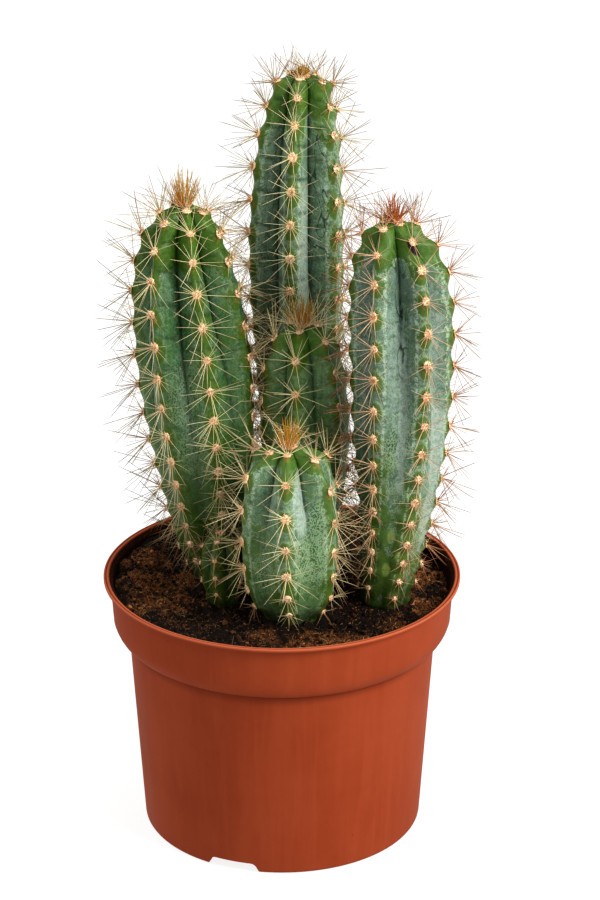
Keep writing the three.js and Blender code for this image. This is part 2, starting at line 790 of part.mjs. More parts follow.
const cactus = new THREE.Group();
cactus.name = 'potted_cactus';
addPart(cactus, 'pot', potGeometry(), material(POT_COLOUR, 0.45));
addPart(cactus, 'soil', soilGeometry(), material(SOIL_COLOUR, 0.95));
for (const stem of STEMS) {
  addPart(cactus, stem.name, stemGeometry(stem), material(stem.colour, 0.6));
}

export default cactus;
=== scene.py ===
"""Potted columnar cactus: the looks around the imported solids.

Shapes are worked out in millimetres in the part's own frame and become metres when a mesh is made.
Azimuths are degrees from the front (-Y), growing towards +X.
"""

import math

import bpy
import numpy as np
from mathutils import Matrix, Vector


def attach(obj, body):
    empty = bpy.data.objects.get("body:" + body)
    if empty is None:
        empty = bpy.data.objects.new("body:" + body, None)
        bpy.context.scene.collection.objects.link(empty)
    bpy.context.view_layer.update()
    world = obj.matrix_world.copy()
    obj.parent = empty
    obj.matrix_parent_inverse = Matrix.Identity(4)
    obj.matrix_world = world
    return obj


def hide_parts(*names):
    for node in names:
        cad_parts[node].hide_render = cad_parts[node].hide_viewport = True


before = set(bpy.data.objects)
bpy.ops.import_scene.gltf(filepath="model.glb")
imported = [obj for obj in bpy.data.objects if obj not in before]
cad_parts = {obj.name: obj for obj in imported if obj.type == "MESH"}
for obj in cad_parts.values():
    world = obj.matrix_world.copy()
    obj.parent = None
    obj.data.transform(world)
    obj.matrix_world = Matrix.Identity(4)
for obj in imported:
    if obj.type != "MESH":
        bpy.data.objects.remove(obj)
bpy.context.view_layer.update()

MM = 0.001
SEED = 11
FULL_TURN = 2 * math.pi
UP = np.array([0, 0, 1.0])
scene = bpy.context.scene

# Pot
POT_SIDES = 192
POT_HEIGHT = 127.0
LIP_RADIUS = 85.0
LIP_HEIGHT = 1.8
BAND_TOP_RADIUS = 81.9
BAND_FOOT_RADIUS = 80.5
BAND_FOOT = 105.0
BEND_RADIUS = 78.5
BEND = 98.0
CREASE_RADIUS = 73.3
CREASE = 97.0
BASE_RADIUS = 66.8
WALL = 1.4
FLOOR = 1.5
FOOT_RING_INNER_RADIUS = 62.5
CHANNEL_INNER_RADIUS = 50.0
CHANNEL_HEIGHT = 5.2
HOLE_RADIUS = 4
HOLE_SIDES = 32
NOTCH_AZIMUTH = -20.0
# Corners of a drain notch: (across, up, rounding)
NOTCH = [(-14.6, -3, 0), (-13.6, 0.2, 1.5), (-10.6, 4.9, 1.2), (10.4, 4.9, 2.2), (12.6, 0.2, 2.0),
         (14.2, -3, 0)]
NOTCH_DEPTH = (58, 72)
# Corners across the lip, from outside in: (radius, height against the top, rounding)
LIP = [(LIP_RADIUS, -0.1, 0.6), (84.3, 0, 0.3), (83.9, -0.4, 0.25), (83.5, -0.1, 0.25),
       (82.7, -0.1, 0.3), (81.6, -1.3, 0.5)]
# Where painted highlights, groove shade and inner shade lie on the lip: radii, and the height where
# its top starts
LIP_EDGE, LIP_RIDGE, LIP_GROOVE, LIP_INSIDE = 84.2, 83.1, 83.95, 82.3
LIP_TOP = 126.5

# Soil
SOIL_EDGE = 117.6
SOIL_MOUND = 3.0
SOIL_RADIUS = 79.7
SOIL_GAP = 0.2
CRUMBS = 6500
FIBRES = 1800
LOOSE_REACH = 78
ABOVE_SOIL = 126
# Paler fibrous patches of the peat, partly painted light on shaded soil: [x, y, radius, strength]
PALE_AND_LIT_SPOTS = [[-8, -58, 8, 0.6], [8, -64, 8, 0.95], [20, -60, 9, 0.95], [4, -73, 6, 0.8],
          [-22, -66, 6, 0.15], [38, -62, 10, 0.95], [24, -74, 5, 0.8], [-62, -2, 14, 1],
          [-58, -24, 13, 1], [-66, 22, 11, 1], [-44, -44, 9, 0.1], [-50, 4, 10, 0.8],
          [58, -46, 10, 0.95], [70, -22, 9, 1], [69, 10, 12, 1], [60, 36, 9, 0.6],
          [-30, 60, 10, 0.7], [20, 74, 8, 0.6]]

# Ribs and areoles, as in the solids
NOTCH_FADE = 0.3
FOOT_SPACING = 8.6
FULL_SPACING_AT = 0.6
CROWN_ZONE = 45.0
STEP_PARTS = 20
LAST_AREOLE_CLEARANCE = 3.2
ROOT_LENGTH = 9.0
BULGE_AT = 0.12
DIP_AFTER = 0.5
CAP_RISE = 0.4
USUAL_SPACING = 13
SWELL_RADIUS = 3.4
USUAL_RADIUS = 22.0
SPINE_REACH = np.array([[-87, -88, 0], [92.5, 90.5, 400]])

# Stems: rib is the azimuth of the first rib, and twist how far the ribs turn down to the foot.
# girth is [crest radius, height] from the crown down, centre is [height, x, y] from the soil up.
# groove is its depth in the crest radius at the crown and the foot, and the shares of the height
# between which it changes; sharp is where the grooves lose their sharp edges. notch is the dip
# above an areole at the crown and lower down, and stair says how much the crown's outline rises in
# steps. first, young and spacing are the way to the first areole and the spacings at the crown and
# in full growth; share sets off each rib's areoles by a part of a step. worn, bare, chalk, cracked,
# spots and scars are patches of the skin: [azimuth, height, width, tallness, strength].
STEMS = [
    dict(
        name="stem_tall", slot="flesh_blue_green", ribs=6, rib=-7,
        groove=(0.46, 0.14, 0.25, 1.1), notch=(1.5, 0.7),
        stair=0.85, first=4.0, young=9.8, spacing=16.2, share=1 / 2, sharp=(0.5, 1.1),
        girth=[[2.6, 355.8], [9.6, 355.5], [14.4, 352.2], [16.8, 342.6], [21, 325], [23.6, 294],
               [24.3, 268], [22.9, 231], [20, 180], [15, 140], [12.5, 123]],
        centre=[[123, 8.6, 51], [200, 7.9, 51.6], [270, 6.9, 52.2], [320, 7.6, 52.5],
                [360, 9.6, 52.8]],
        worn=[[-40, 230, 12, 22, 0.6], [100, 300, 12, 30, 0.7], [170, 250, 14, 40, 0.8]],
        bare=[[200, 200, 20, 40, 0.5], [-120, 300, 10, 30, 0.5]],
        chalk=[[12, 262, 4.5, 60, 0.8], [14, 200, 5, 30, 0.6], [70, 270, 5, 60, 0.7],
               [190, 280, 6, 50, 0.6]],
        cracked=[[34, 300, 5, 40, 1.0], [-40, 300, 6, 40, 0.7], [150, 280, 7, 30, 1.0]],
    ),
    dict(
        name="stem_left", slot="flesh_green", ribs=7, rib=13, twist=6,
        groove=(0.48, 0.12, 0.1, 0.6), notch=(1.1, 0.7),
        stair=0.6, first=4, young=11, spacing=15.6, share=2 / 7, sharp=(0.35, 0.75),
        girth=[[2.6, 308.5], [10.6, 304.5], [17.5, 296.5], [22.8, 281], [26.4, 261], [27.9, 230],
               [26.3, 202], [22.5, 171], [17, 140], [13.2, 123]],
        centre=[[123, -30, 8], [140, -32.6, 8], [171, -35, 8], [200, -37.4, 8], [240, -40.6, 8],
                [285, -45, 8], [309, -44.6, 8]],
        worn=[[-12, 222, 9, 24, 1.0], [-8, 196, 9, 16, 0.9], [150, 240, 14, 30, 0.8]],
        bare=[[30, 240, 12, 60, 0.35], [-30, 170, 24, 26, 0.5], [-25, 146, 26, 18, 0.9],
              [-100, 250, 14, 50, 0.5]],
        chalk=[[-14, 215, 4, 26, 0.15]],
        cracked=[[170, 240, 6, 24, 0.8]],
    ),
    dict(
        name="stem_right", slot="flesh_grey_green", ribs=6, rib=29, twist=-13,
        groove=(0.46, 0.12, 0.15, 0.75), notch=(1.3, 1.2),
        stair=0.6, first=1.6, young=11, spacing=15.4, share=1 / 2, sharp=(0.08, 0.42),
        girth=[[2.8, 309.4], [12.4, 305.8], [20.6, 291], [23.4, 274], [24.2, 258], [22.7, 212],
               [19.6, 182], [15.6, 151], [12.4, 123]],
        centre=[[123, 48.8, -18], [136, 50.6, -18], [165, 53.4, -18], [212, 55.1, -18],
                [257, 55, -18], [290, 53.4, -18], [311, 50.8, -18]],
        worn=[[-4, 205, 9, 16, 1.0], [-2, 225, 8, 20, 0.6], [100, 230, 12, 30, 0.7],
              [200, 200, 14, 40, 0.8]],
        bare=[[-5, 158, 24, 28, 0.5], [-12, 186, 10, 18, 0.4], [60, 150, 14, 20, 0.3]],
        # The chalk patch at azimuth 0 is pale bloom and partly painted light that lifts the shade
        # in the groove there
        chalk=[[58, 250, 6, 40, 0.45], [62, 195, 7, 50, 0.8], [-12, 240, 4, 30, 0.4],
               [0, 222, 3.5, 46, 0.8], [200, 240, 8, 50, 0.6]],
        cracked=[[-2, 270, 5, 34, 1.0], [150, 240, 6, 26, 0.8]],
        spots=[[-10, 142, 3.2, 3.4, 0.7], [-8, 160, 2.8, 3.6, 0.6], [8, 150, 2, 2.4, 0.5]],
        scars=[[27, 302.6, 3.2, 2.6, 1.0], [34, 301.4, 4.2, 3.2, 1.0],
               [43, 299.8, 4.4, 3.4, 1.0], [51, 298, 3.0, 2.8, 1.0]],
    ),
    dict(
        name="stem_middle", slot="flesh_green", ribs=6, rib=-12,
        groove=(0.42, 0.12, 0.15, 0.8), notch=(1.0, 0.6),
        stair=0.5, first=5, young=14, spacing=17, share=1 / 2, sharp=(0.4, 0.8),
        girth=[[2.6, 250], [12.6, 245.5], [16.6, 238], [19.6, 228], [21.8, 200], [20.5, 172],
               [16.5, 143], [12.4, 123]],
        centre=[[123, 10.5, 10.5], [200, 11.2, 8.6], [250, 9.8, 7]],
        worn=[[120, 190, 12, 24, 0.8]],
        bare=[[-60, 180, 20, 40, 0.4]],
    ),
    dict(
        name="stem_front", slot="flesh_pale_green", ribs=6, rib=-4,
        groove=(0.5, 0.12, 0.04, 0.62), notch=(0.8, 0.5),
        stair=0.3, first=5.5, young=16, spacing=16.5, share=0.42, sharp=(0.2, 0.6),
        girth=[[2.6, 209.5], [14.6, 205], [20.8, 197.4], [23.8, 183], [24.1, 168], [23, 145],
               [20.6, 132.5], [17, 126.5], [13.8, 122]],
        centre=[[122, 5, -34], [145, 4.4, -36.5], [176, 3.8, -39.6], [209, 3.4, -43]],
        worn=[[20, 160, 11, 16, 1.0], [38, 170, 8, 16, 1.0], [-36, 150, 8, 16, 0.9],
              [150, 165, 14, 24, 0.8]],
        bare=[[-32, 160, 9, 16, 0.6], [-14, 140, 10, 12, 0.5], [14, 158, 5, 14, 0.3],
              [34, 146, 10, 10, 0.4], [60, 180, 6, 20, 0.5]],
        chalk=[[15, 184, 4.5, 17, 1.0], [-26, 188, 4, 10, 0.5], [150, 180, 6, 16, 0.5]],
    ),
    dict(
        name="stem_offset", slot="flesh_young_green", ribs=5, rib=-20,
        groove=(0.36, 0.12, 0.2, 0.9), notch=(0.5, 0.4),
        stair=0.3, first=4.5, young=8.5, spacing=10, share=2 / 5, sharp=(0.3, 0.9),
        girth=[[2, 156.5], [6.8, 153.5], [9.6, 147], [10.2, 138], [9.4, 129], [8, 122]],
        centre=[[122, -27.2, -20.5], [156, -28, -22]],
    ),
]

# Spines: usual length, tone from gold (-1) over straw (0) to rust (1), painted shade that browns
# the spines at the stems' sides, how much browner they are near the crown, more gold and less
# length near the crown, the size of the wool pads, and the crown's tuft
SPINE_TRAITS = ("spine_length", "tone", "side_tone", "crown_tone", "gold", "crown_cut", "pad",
                "tuft", "tuft_radius", "tuft_fan", "tuft_length", "tuft_tone", "tuft_edge")
SPINES = {
    "stem_tall": (18.5, 0.0, 0.7, 0.3, 0.1, 0.25, 1.9, 110, 3.0, 26, 7.5, -1.0, -0.8),
    "stem_left": (18.5, 0.0, 0.7, 0.45, 0.3, 0.1, 1.9, 95, 3.4, 38, 20, -1.0, -0.8),
    "stem_right": (15, 0.1, 0.6, 0.2, 0, 0, 1.85, 60, 3.0, 50, 16, 1.3, 0.95),
    "stem_middle": (17, 0.0, 0.35, 0.0, 0.2, 0, 1.85, 120, 3.4, 58, 17, -1.1, 0.0),
    "stem_front": (18, 0.1, 0.4, 0.15, 0.2, 0, 1.85, 95, 3.2, 46, 16.5, -1.0, -0.55),
    "stem_offset": (11, 0.15, 0.5, 0.2, 0, 0, 1.1, 12, 1.1, 50, 7, 0.3, 0.3),
}

# Across a rib, from the crest (0) to the groove (1): how far the skin has fallen into the groove
ACROSS = np.array([0, 0.06, 0.14, 0.24, 0.34, 0.45, 0.58, 0.7, 0.8, 0.88, 0.94, 0.975, 1])
FALL_SHARP = np.array([0, 0.012, 0.05, 0.13, 0.24, 0.37, 0.51, 0.63, 0.73, 0.81, 0.88, 0.94, 1.04])
FALL_SOFT = np.array([0, 0.012, 0.06, 0.15, 0.27, 0.41, 0.6, 0.77, 0.89, 0.955, 0.985, 0.995, 1])


def ease(x, low, high):
    """0 up to low, 1 from high on, with a smooth rise between."""
    t = np.clip((x - low) / (high - low), 0, 1)
    return t * t * (3 - 2 * t)


def xyz(x, y, z):
    return np.stack(np.broadcast_arrays(x, y, z), -1)


def outward(azimuth):
    """Unit vectors away from the axis."""
    angle = np.radians(azimuth)
    return xyz(np.sin(angle), -np.cos(angle), 0.0)


def unit(vectors):
    return vectors / np.maximum(np.linalg.norm(vectors, axis=-1, keepdims=True), 1e-9)


def turned(start, towards, angle):
    """Rows of unit vectors, turned by angles from one towards the other."""
    return start * np.cos(angle)[:, None] + towards * np.sin(angle)[:, None]


def circle(sides):
    return np.arange(sides) * FULL_TURN / sides


def lattice(corner, seed):
    """A seeded number from 0 to 1 for each corner of a lattice."""
    x, y, z = (corner[..., i].astype(np.uint64) for i in range(3))
    mask = np.uint64(0xFFFFFFFF)
    mixed = (x * np.uint64(374761393) + y * np.uint64(668265263) + z * np.uint64(2246822519)
             + np.uint64(seed * 3266489917 % 4294967296)) & mask
    mixed = ((mixed ^ (mixed >> np.uint64(13))) * np.uint64(1274126177)) & mask
    return ((mixed ^ (mixed >> np.uint64(16))) & np.uint64(0xFFFF)).astype(float) / 65535


def noise(points, size, seed):
    """Smooth noise from -1 to 1 whose features are about size across."""
    place = points / size + 1000.0
    base = np.floor(place).astype(np.int64)
    share = place - base
    share = share * share * (3 - 2 * share)
    total = 0
    for corner in np.ndindex(2, 2, 2):
        step = np.array(corner)
        weight = np.prod(np.where(step, share, 1 - share), axis=-1)
        total = total + weight * lattice(base + step, seed)
    return 2 * total - 1


def smooth_line(points, parts):
    """A smooth curve through points, in so many parts between two of them."""
    points = np.asarray(points, float)
    padded = np.vstack([points[0], points, points[-1]])
    t = np.linspace(0, 1, parts, endpoint=False)[:, None]
    pieces = []
    for i in range(len(points) - 1):
        p0, p1, p2, p3 = padded[i:i + 4]
        v0, v1 = (p2 - p0) / 2, (p3 - p1) / 2
        pieces.append((2 * p1 - 2 * p2 + v0 + v1) * t ** 3
                      + (-3 * p1 + 3 * p2 - 2 * v0 - v1) * t ** 2 + v0 * t + p1)
    return np.vstack(pieces + [points[-1:]])


def value_at(stations, height, column):
    """A column's value at heights: smooth through the stations, constant below the lowest."""
    table = np.asarray(stations, float)
    levels, values = table[:, 0], table[:, column]
    slopes = np.zeros(len(table))
    for i in range(1, len(table)):
        after = min(i + 1, len(table) - 1)
        slopes[i] = (values[after] - values[i - 1]) / (levels[after] - levels[i - 1])
    height = np.maximum(height, levels[0])
    i = np.clip(np.searchsorted(levels, height) - 1, 0, len(table) - 2)
    rise = levels[i + 1] - levels[i]
    t = (height - levels[i]) / rise
    return ((2 * t ** 3 - 3 * t ** 2 + 1) * values[i] + (3 * t ** 2 - 2 * t ** 3) * values[i + 1]
            + (t ** 3 - 2 * t ** 2 + t) * slopes[i] * rise
            + (t ** 3 - t ** 2) * slopes[i + 1] * rise)


def soil_height(x, y):
    """The soil's height in the solids: a low mound with clods and a heap at the back left."""
    reach = np.hypot(x, y)
    share = np.minimum(1, reach / BAND_FOOT_RADIUS)
    clods = np.sin(x / 5.2 + 1) * np.cos(y / 6.5) + np.sin((x + y) / 3.5) / 2
    heap = 3.2 * np.exp(-(np.hypot(x + 52, y - 46) / 26) ** 2) * ease(reach, 52, 74)
    return SOIL_EDGE + SOIL_MOUND * (1 - share * share) + 0.6 * clods + heap


# Meshes
def new_object(name, points, *faces, smooth=True):
    """A mesh object from points in millimetres and arrays of faces."""
    mesh = bpy.data.meshes.new(name)
    faces = [face for array in faces for face in np.asarray(array).tolist()]
    mesh.from_pydata((np.asarray(points) * MM).tolist(), [], faces)
    mesh.polygons.foreach_set("use_smooth", np.full(len(faces), smooth))
    obj = bpy.data.objects.new(name, mesh)
    scene.collection.objects.link(obj)
    return obj


def paint(obj, **values):
    """Keeps a number for each point as a named attribute."""
    for name, numbers in values.items():
        layer = obj.data.attributes.new(name, "FLOAT", "POINT")
        layer.data.foreach_set("value", np.asarray(numbers, np.float32).ravel())


def grid_faces(rows, columns):
    """Quads between rings of points."""
    i, j = np.meshgrid(np.arange(rows - 1), np.arange(columns), indexing="ij")
    right = (j + 1) % columns
    corners = [i * columns + j, (i + 1) * columns + j, (i + 1) * columns + right,
               i * columns + right]
    return np.stack([c.ravel() for c in corners], -1)


def ringed_object(name, rings, first, last, upwards=False):
    """A closed body from rings of points, from the top down, and the two points that end it."""
    rows, columns = rings.shape[:2]
    ring = np.arange(columns)
    after, start, end = (ring + 1) % columns, (rows - 1) * columns, rows * columns
    ends = np.vstack([np.stack([np.full(columns, end), ring, after], -1),
                      np.stack([start + ring, np.full(columns, end + 1), start + after], -1)])
    quads = grid_faces(rows, columns)
    if upwards:
        quads, ends = quads[:, [0, 3, 2, 1]], ends[:, [0, 2, 1]]
    return new_object(name, np.vstack([rings.reshape(-1, 3), first, last]), quads, ends)


def tubes(roots, tips, bends, radii, sides, shares, thickness):
    """Tapering bent spikes: points (spike, point, xyz) and faces of one spike."""
    axis = unit(tips - roots)
    helper = np.where(np.abs(axis[:, 2:]) > 0.9, [[1.0, 0, 0]], [[0, 0, 1.0]])
    u = unit(np.cross(axis, helper))
    v = np.cross(axis, u)
    turn = circle(sides)[None, :, None]
    offset = u[:, None] * np.cos(turn) + v[:, None] * np.sin(turn)
    rings = []
    for share, thick in zip(shares, thickness):
        middle = roots + (tips - roots) * share + bends * (4 * share * (1 - share))
        rings.append(middle[:, None] + offset * (radii * thick)[:, None, None])
    points = np.concatenate(rings + [tips[:, None]], 1)
    quads = grid_faces(len(shares), sides)[:, [0, 3, 2, 1]]
    last = (len(shares) - 1) * sides
    ends = [[last + i, last + (i + 1) % sides, len(shares) * sides] for i in range(sides)]
    foot = [[0, i + 1, i] for i in range(1, sides - 1)]
    return points, quads, np.array(ends + foot)


def repeated(faces, count, size):
    """Faces of one shape, for count shapes of size points each."""
    return (faces[None] + (np.arange(count) * size)[:, None, None]).reshape(-1, faces.shape[1])


def spike_object(name, spikes, sides, shares, thickness):
    """One object from many spikes, with the tone of each and the way along it."""
    *shape, tones = spikes
    points, quads, ends = tubes(*shape, sides, shares, thickness)
    count, size = points.shape[:2]
    obj = new_object(name, points.reshape(-1, 3), repeated(quads, count, size),
                     repeated(ends, count, size))
    paint(obj, tone=np.repeat(tones, size),
          along=np.tile(np.append(np.repeat(shares, sides), 1.0), count))
    return obj


# Stems
class Stem:
    """The skin of one stem as a formula, and its areoles."""

    twist = 0
    worn = bare = chalk = cracked = spots = scars = ()

    def __init__(self, index, spec):
        vars(self).update(spec, **dict(zip(SPINE_TRAITS, SPINES[spec["name"]])))
        self.seed = SEED + 17 * index
        self.line = smooth_line(self.girth, 400)
        slope = np.gradient(self.line, axis=0)
        self.facing = unit(np.stack([-slope[:, 1], slope[:, 0]], -1))
        self.arcs = np.append(0, np.cumsum(np.hypot(*np.diff(self.line, axis=0).T)))
        self.length = self.arcs[-1]
        self.top = self.girth[0][1]
        self.foot = self.girth[-1][1]
        self.rng = np.random.default_rng(self.seed)
        self.waves = self.rng.uniform(0, FULL_TURN, (self.ribs, 2))
        table = []
        along = self.first
        while along < self.length:
            table.append(along)
            height = np.interp(along, self.arcs, self.line[:, 1])
            share = (height - self.foot) / (self.top - self.foot)
            grown = FOOT_SPACING + (self.spacing - FOOT_SPACING) * min(1, share / FULL_SPACING_AT)
            spacing = self.young + (grown - self.young) * min(1, along / CROWN_ZONE)
            along += spacing / STEP_PARTS
        self.table = np.array(table)
        self.counts = np.arange(len(table)) / STEP_PARTS
        self.areoles = self.find_areoles()

    def step_at(self, along):
        """Steps below the first areole; falls evenly before it."""
        counted = np.interp(along, self.table, self.counts)
        return counted + np.minimum(0, along - self.first) / self.young

    def along_at(self, step):
        return np.interp(step, self.counts, self.table)

    def height_at(self, along):
        return (np.interp(along, self.arcs, self.line[:, 1])
                - np.maximum(0, along - self.length))

    def centre_at(self, height):
        return xyz(value_at(self.centre, height, 1), value_at(self.centre, height, 2), height)

    def share_at(self, height):
        """The share of the height above a place: 0 at the crown, 1 at the foot."""
        return np.clip((self.top - height) / (self.top - self.foot), 0, 1)

    def depth_at(self, share):
        crown, foot, start, end = self.groove
        return crown + (foot - crown) * ease(share, start, end)

    def azimuth_at(self, rib, share):
        return self.rib + self.twist * share ** 2 + 360 / self.ribs * rib

    def phase(self, rib, along):
        """Steps below the first areole of this rib."""
        return self.step_at(along) - (rib * self.share) % 1

    def skin(self, rib, across, along):
        """Points of the skin. along is counted from the crown's ring and is below 0 on its cap."""
        rib, across, along = np.broadcast_arrays(rib, across, along)
        cap = np.clip(-along / self.girth[0][0], 0, 1)
        height = self.height_at(along) + CAP_RISE * (1 - (1 - cap) ** 2)
        root = ease(along, self.length, self.length + 5)
        share = self.share_at(height)
        side = np.abs(across)
        phase = self.phase(rib, along)
        stair = (self.stair * (1 - ease(share, 0.1, 0.45)) * (1 - ease(side, 0.3, 0.95))
                 * ease(phase, 0, 0.1))
        held = -stair * np.sin(FULL_TURN * (phase - BULGE_AT)) / FULL_TURN
        shown = np.where(stair > 0, self.along_at(self.step_at(along) + held), along)
        radius = np.interp(shown, self.arcs, self.line[:, 0]) * (1 - cap) * (1 - 0.18 * root)
        facing_out, facing_up = (np.interp(along, self.arcs, part) for part in self.facing.T)
        sharp = 1 - ease(share, *self.sharp)
        fall = (sharp * np.interp(side, ACROSS, FALL_SHARP)
                + (1 - sharp) * np.interp(side, ACROSS, FALL_SOFT))
        quiet = ease(along, 0, 6) * (1 - root)

        turn = (phase - BULGE_AT) % 1
        turn = np.where(turn < DIP_AFTER, turn / DIP_AFTER,
                        1 + (turn - DIP_AFTER) / (1 - DIP_AFTER))
        dip = (1 - np.cos(math.pi * turn)) / 2 * (phase > BULGE_AT)
        deep, low = self.notch
        dip = dip * (deep + (low - deep) * np.minimum(1, share / NOTCH_FADE))
        nearest = np.round(phase)
        away = np.hypot((phase - nearest - 0.1) * USUAL_SPACING,
                        side * radius * math.pi / self.ribs)
        swell = ((0.45 + 0.35 * (1 - ease(share, 0.02, 0.3)))
                 * np.exp(-(away / SWELL_RADIUS) ** 2) * (nearest >= 0))
        relief = (swell - dip * (1 - ease(side, 0.05, 0.62))
                  - 0.75 * self.crease(phase, side, share)) * quiet

        waves = self.waves[(np.where(across >= 0, rib, rib - 1) % self.ribs).astype(int)]
        sway = np.sin(height / 21 + waves[..., 0]) + 0.6 * np.sin(height / 8.3 + waves[..., 1])
        azimuth = (self.azimuth_at(rib + across / 2, share)
                   + 0.9 * sway * side ** 3 * ease(along, 6, 30) * (1 - root))
        direction = outward(azimuth)
        surface = radius * (1 - self.depth_at(share) * fall)
        flat = direction * surface[..., None] + xyz(0.0, 0.0, height)
        rough = 0.3 * noise(flat, 11, self.seed) + 0.16 * noise(flat, 3.6, self.seed + 1)
        relief = relief + rough * quiet * (0.35 + 0.65 * ease(side, 0, 0.3))
        points = self.centre_at(height) + direction * (surface + relief * facing_out)[..., None]
        points[..., 2] += relief * facing_up
        return points

    def crease(self, phase, side, share):
        """Furrows that run from the dips down both flanks."""
        far = (phase - np.floor(phase) - 0.66 - 0.18 * side) * 14
        window = ease(side, 0.06, 0.18) * (1 - ease(side, 0.62, 0.9))
        return (np.exp(-(far / 0.8) ** 2) * window * (phase > -0.4)
                * (1 - ease(share, 0.25, 0.7)))

    def find_areoles(self):
        """Rib and way along of each areole."""
        found = []
        for rib in range(self.ribs):
            step = (rib * self.share) % 1
            along = self.along_at(step)
            while (step * STEP_PARTS + 1 < len(self.table)
                   and self.height_at(along) >= self.foot + LAST_AREOLE_CLEARANCE):
                found.append((rib, along))
                step += 1
                along = self.along_at(step)
        return np.array(found)

    def frames(self, rib, along):
        """Place, side, up and normal of the skin on the crest."""
        reach = 1.6
        place = self.skin(rib, 0.0, along)
        side = unit(self.skin(rib, 0.12, along) - self.skin(rib, -0.12, along))
        rough_up = self.skin(rib, 0.0, along - reach) - self.skin(rib, 0.0, along + reach)
        normal = unit(np.cross(side, rough_up))
        return place, side, np.cross(normal, side), normal

    def outside_by(self, points):
        """Level distance of points from the skin, negative inside."""
        height = np.minimum(points[..., 2], self.top - 0.5)
        dx, dy, _ = np.moveaxis(points - self.centre_at(height), -1, 0)
        share = self.share_at(height)
        half = 180 / self.ribs
        turn = np.degrees(np.arctan2(dx, -dy)) - self.azimuth_at(0, share)
        side = np.abs((turn + half) % (2 * half) - half) / half
        radius = np.interp(-height, -self.line[:, 1], self.line[:, 0])
        fall = np.interp(side, ACROSS, FALL_SHARP)
        gap = np.hypot(dx, dy) - radius * (1 - self.depth_at(share) * fall)
        return np.where(points[..., 2] > self.top + 2, 99.0, gap)

    def patch(self, azimuth, patches, points):
        """How strongly points lie in any of the patches, with ragged edges."""
        total = np.zeros(azimuth.shape)
        ragged = 0.45 * noise(points, 6, self.seed + 5) + 0.25 * noise(points, 2.2, self.seed + 6)
        for where, level, width, tallness, strength in patches:
            turn = np.radians((azimuth - where + 180) % 360 - 180)
            far = np.hypot(turn * USUAL_RADIUS / width, (points[..., 2] - level) / tallness)
            rough = ragged * min(1, width / 6)
            total = np.maximum(total, strength * (1 - ease(far + rough, 0.55, 1.15)))
        return total


stems = [Stem(i, spec) for i, spec in enumerate(STEMS)]


def stem_body(stem):
    """The ribbed body, dense across the grooves and closed at both ends."""
    per_rib, spacing = ((30, 1.05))
    t = np.arange(per_rib) / per_rib * 2 - 1
    across = np.tile(0.55 * t + 0.45 * np.sin(t * math.pi / 2), stem.ribs)[None]
    rib = np.repeat(np.arange(stem.ribs), per_rib)[None]
    cap = -stem.girth[0][0] * np.array([0.85, 0.6, 0.3])
    body = np.linspace(0, stem.length, int(stem.length / spacing))
    root = stem.length + np.array([1, 2.5, 4.5, 7, ROOT_LENGTH])
    along = np.concatenate([cap, body, root])[:, None]
    points = stem.skin(rib, across, along)
    obj = ringed_object(f"{stem.name}_skin", points,
                        stem.centre_at(np.array(stem.top + CAP_RISE)),
                        stem.centre_at(np.array(stem.foot - ROOT_LENGTH)))
    side = np.broadcast_to(np.abs(across), points.shape[:2])
    share = stem.share_at(points[..., 2])
    phase = stem.phase(rib, along)
    radius = np.interp(along, stem.arcs, stem.line[:, 0])
    spacing = np.clip(stem.along_at(stem.step_at(along) + 1) - along, 7, 18)
    below = (phase - np.maximum(0, np.round(phase)) - 0.12) * spacing * 0.8
    azimuth = stem.azimuth_at(rib + across / 2, share)
    fields = {kind: stem.patch(azimuth, getattr(stem, kind), points)
              for kind in ("worn", "bare", "chalk", "cracked", "spots", "scars")}
    fields.update(side=side, share=share, crease=stem.crease(phase, side, share),
                  pad=np.hypot(below, side * radius * math.pi / stem.ribs),
                  sharp=(1 - ease(share, *stem.sharp)) * np.ones_like(side))
    paint(obj, **{name: np.append(field, [0.0, 1.0]) for name, field in fields.items()})
    return obj


def clear(points, owner):
    """Which spikes, as rows of points, stay out of stems, soil and pot."""
    x, y, z = np.moveaxis(points, -1, 0)
    fine = (z > soil_height(x, y) + 0.8).all(1)
    fine &= ~((z < POT_HEIGHT + 1) & (np.hypot(x, y) > BEND_RADIUS - 1)).any(1)
    for stem in stems:
        if stem is owner:
            fine &= (stem.outside_by(points[:, 3:]) > 0.1).all(1)
        else:
            fine &= (stem.outside_by(points) > 0.5).all(1)
    return fine


def settle(stem, roots, side, up, normal, angle, tilt, length):
    """Tips of spikes; those that would meet something stand up more and get shorter."""
    turn, rise, size = angle.copy(), tilt.copy(), length.copy()
    shares = np.linspace(0.15, 1, 7)[None, :, None]
    for attempt in range(7):
        tips = roots + turned(turned(up, side, turn), normal, rise) * size[:, None]
        bad = ~clear(roots[:, None] + (tips - roots)[:, None] * shares, stem)
        if not bad.any():
            break
        rise[bad] = np.minimum(math.radians(85), rise[bad] + math.radians(7))
        turn[bad] += stem.rng.uniform(-0.35, 0.35, bad.sum())
        size[bad] *= 0.94
    return tips, ~bad


def shortened(roots, tips):
    """Tips drawn back to stay within the part's reach."""
    step = tips - roots
    room = np.where(step > 0, SPINE_REACH[1] - roots, SPINE_REACH[0] - roots)
    fit = np.min(room / np.where(np.abs(step) < 1e-6, 1e-6, step), axis=1)
    return roots + step * np.clip(fit, 0.2, 1)[:, None]


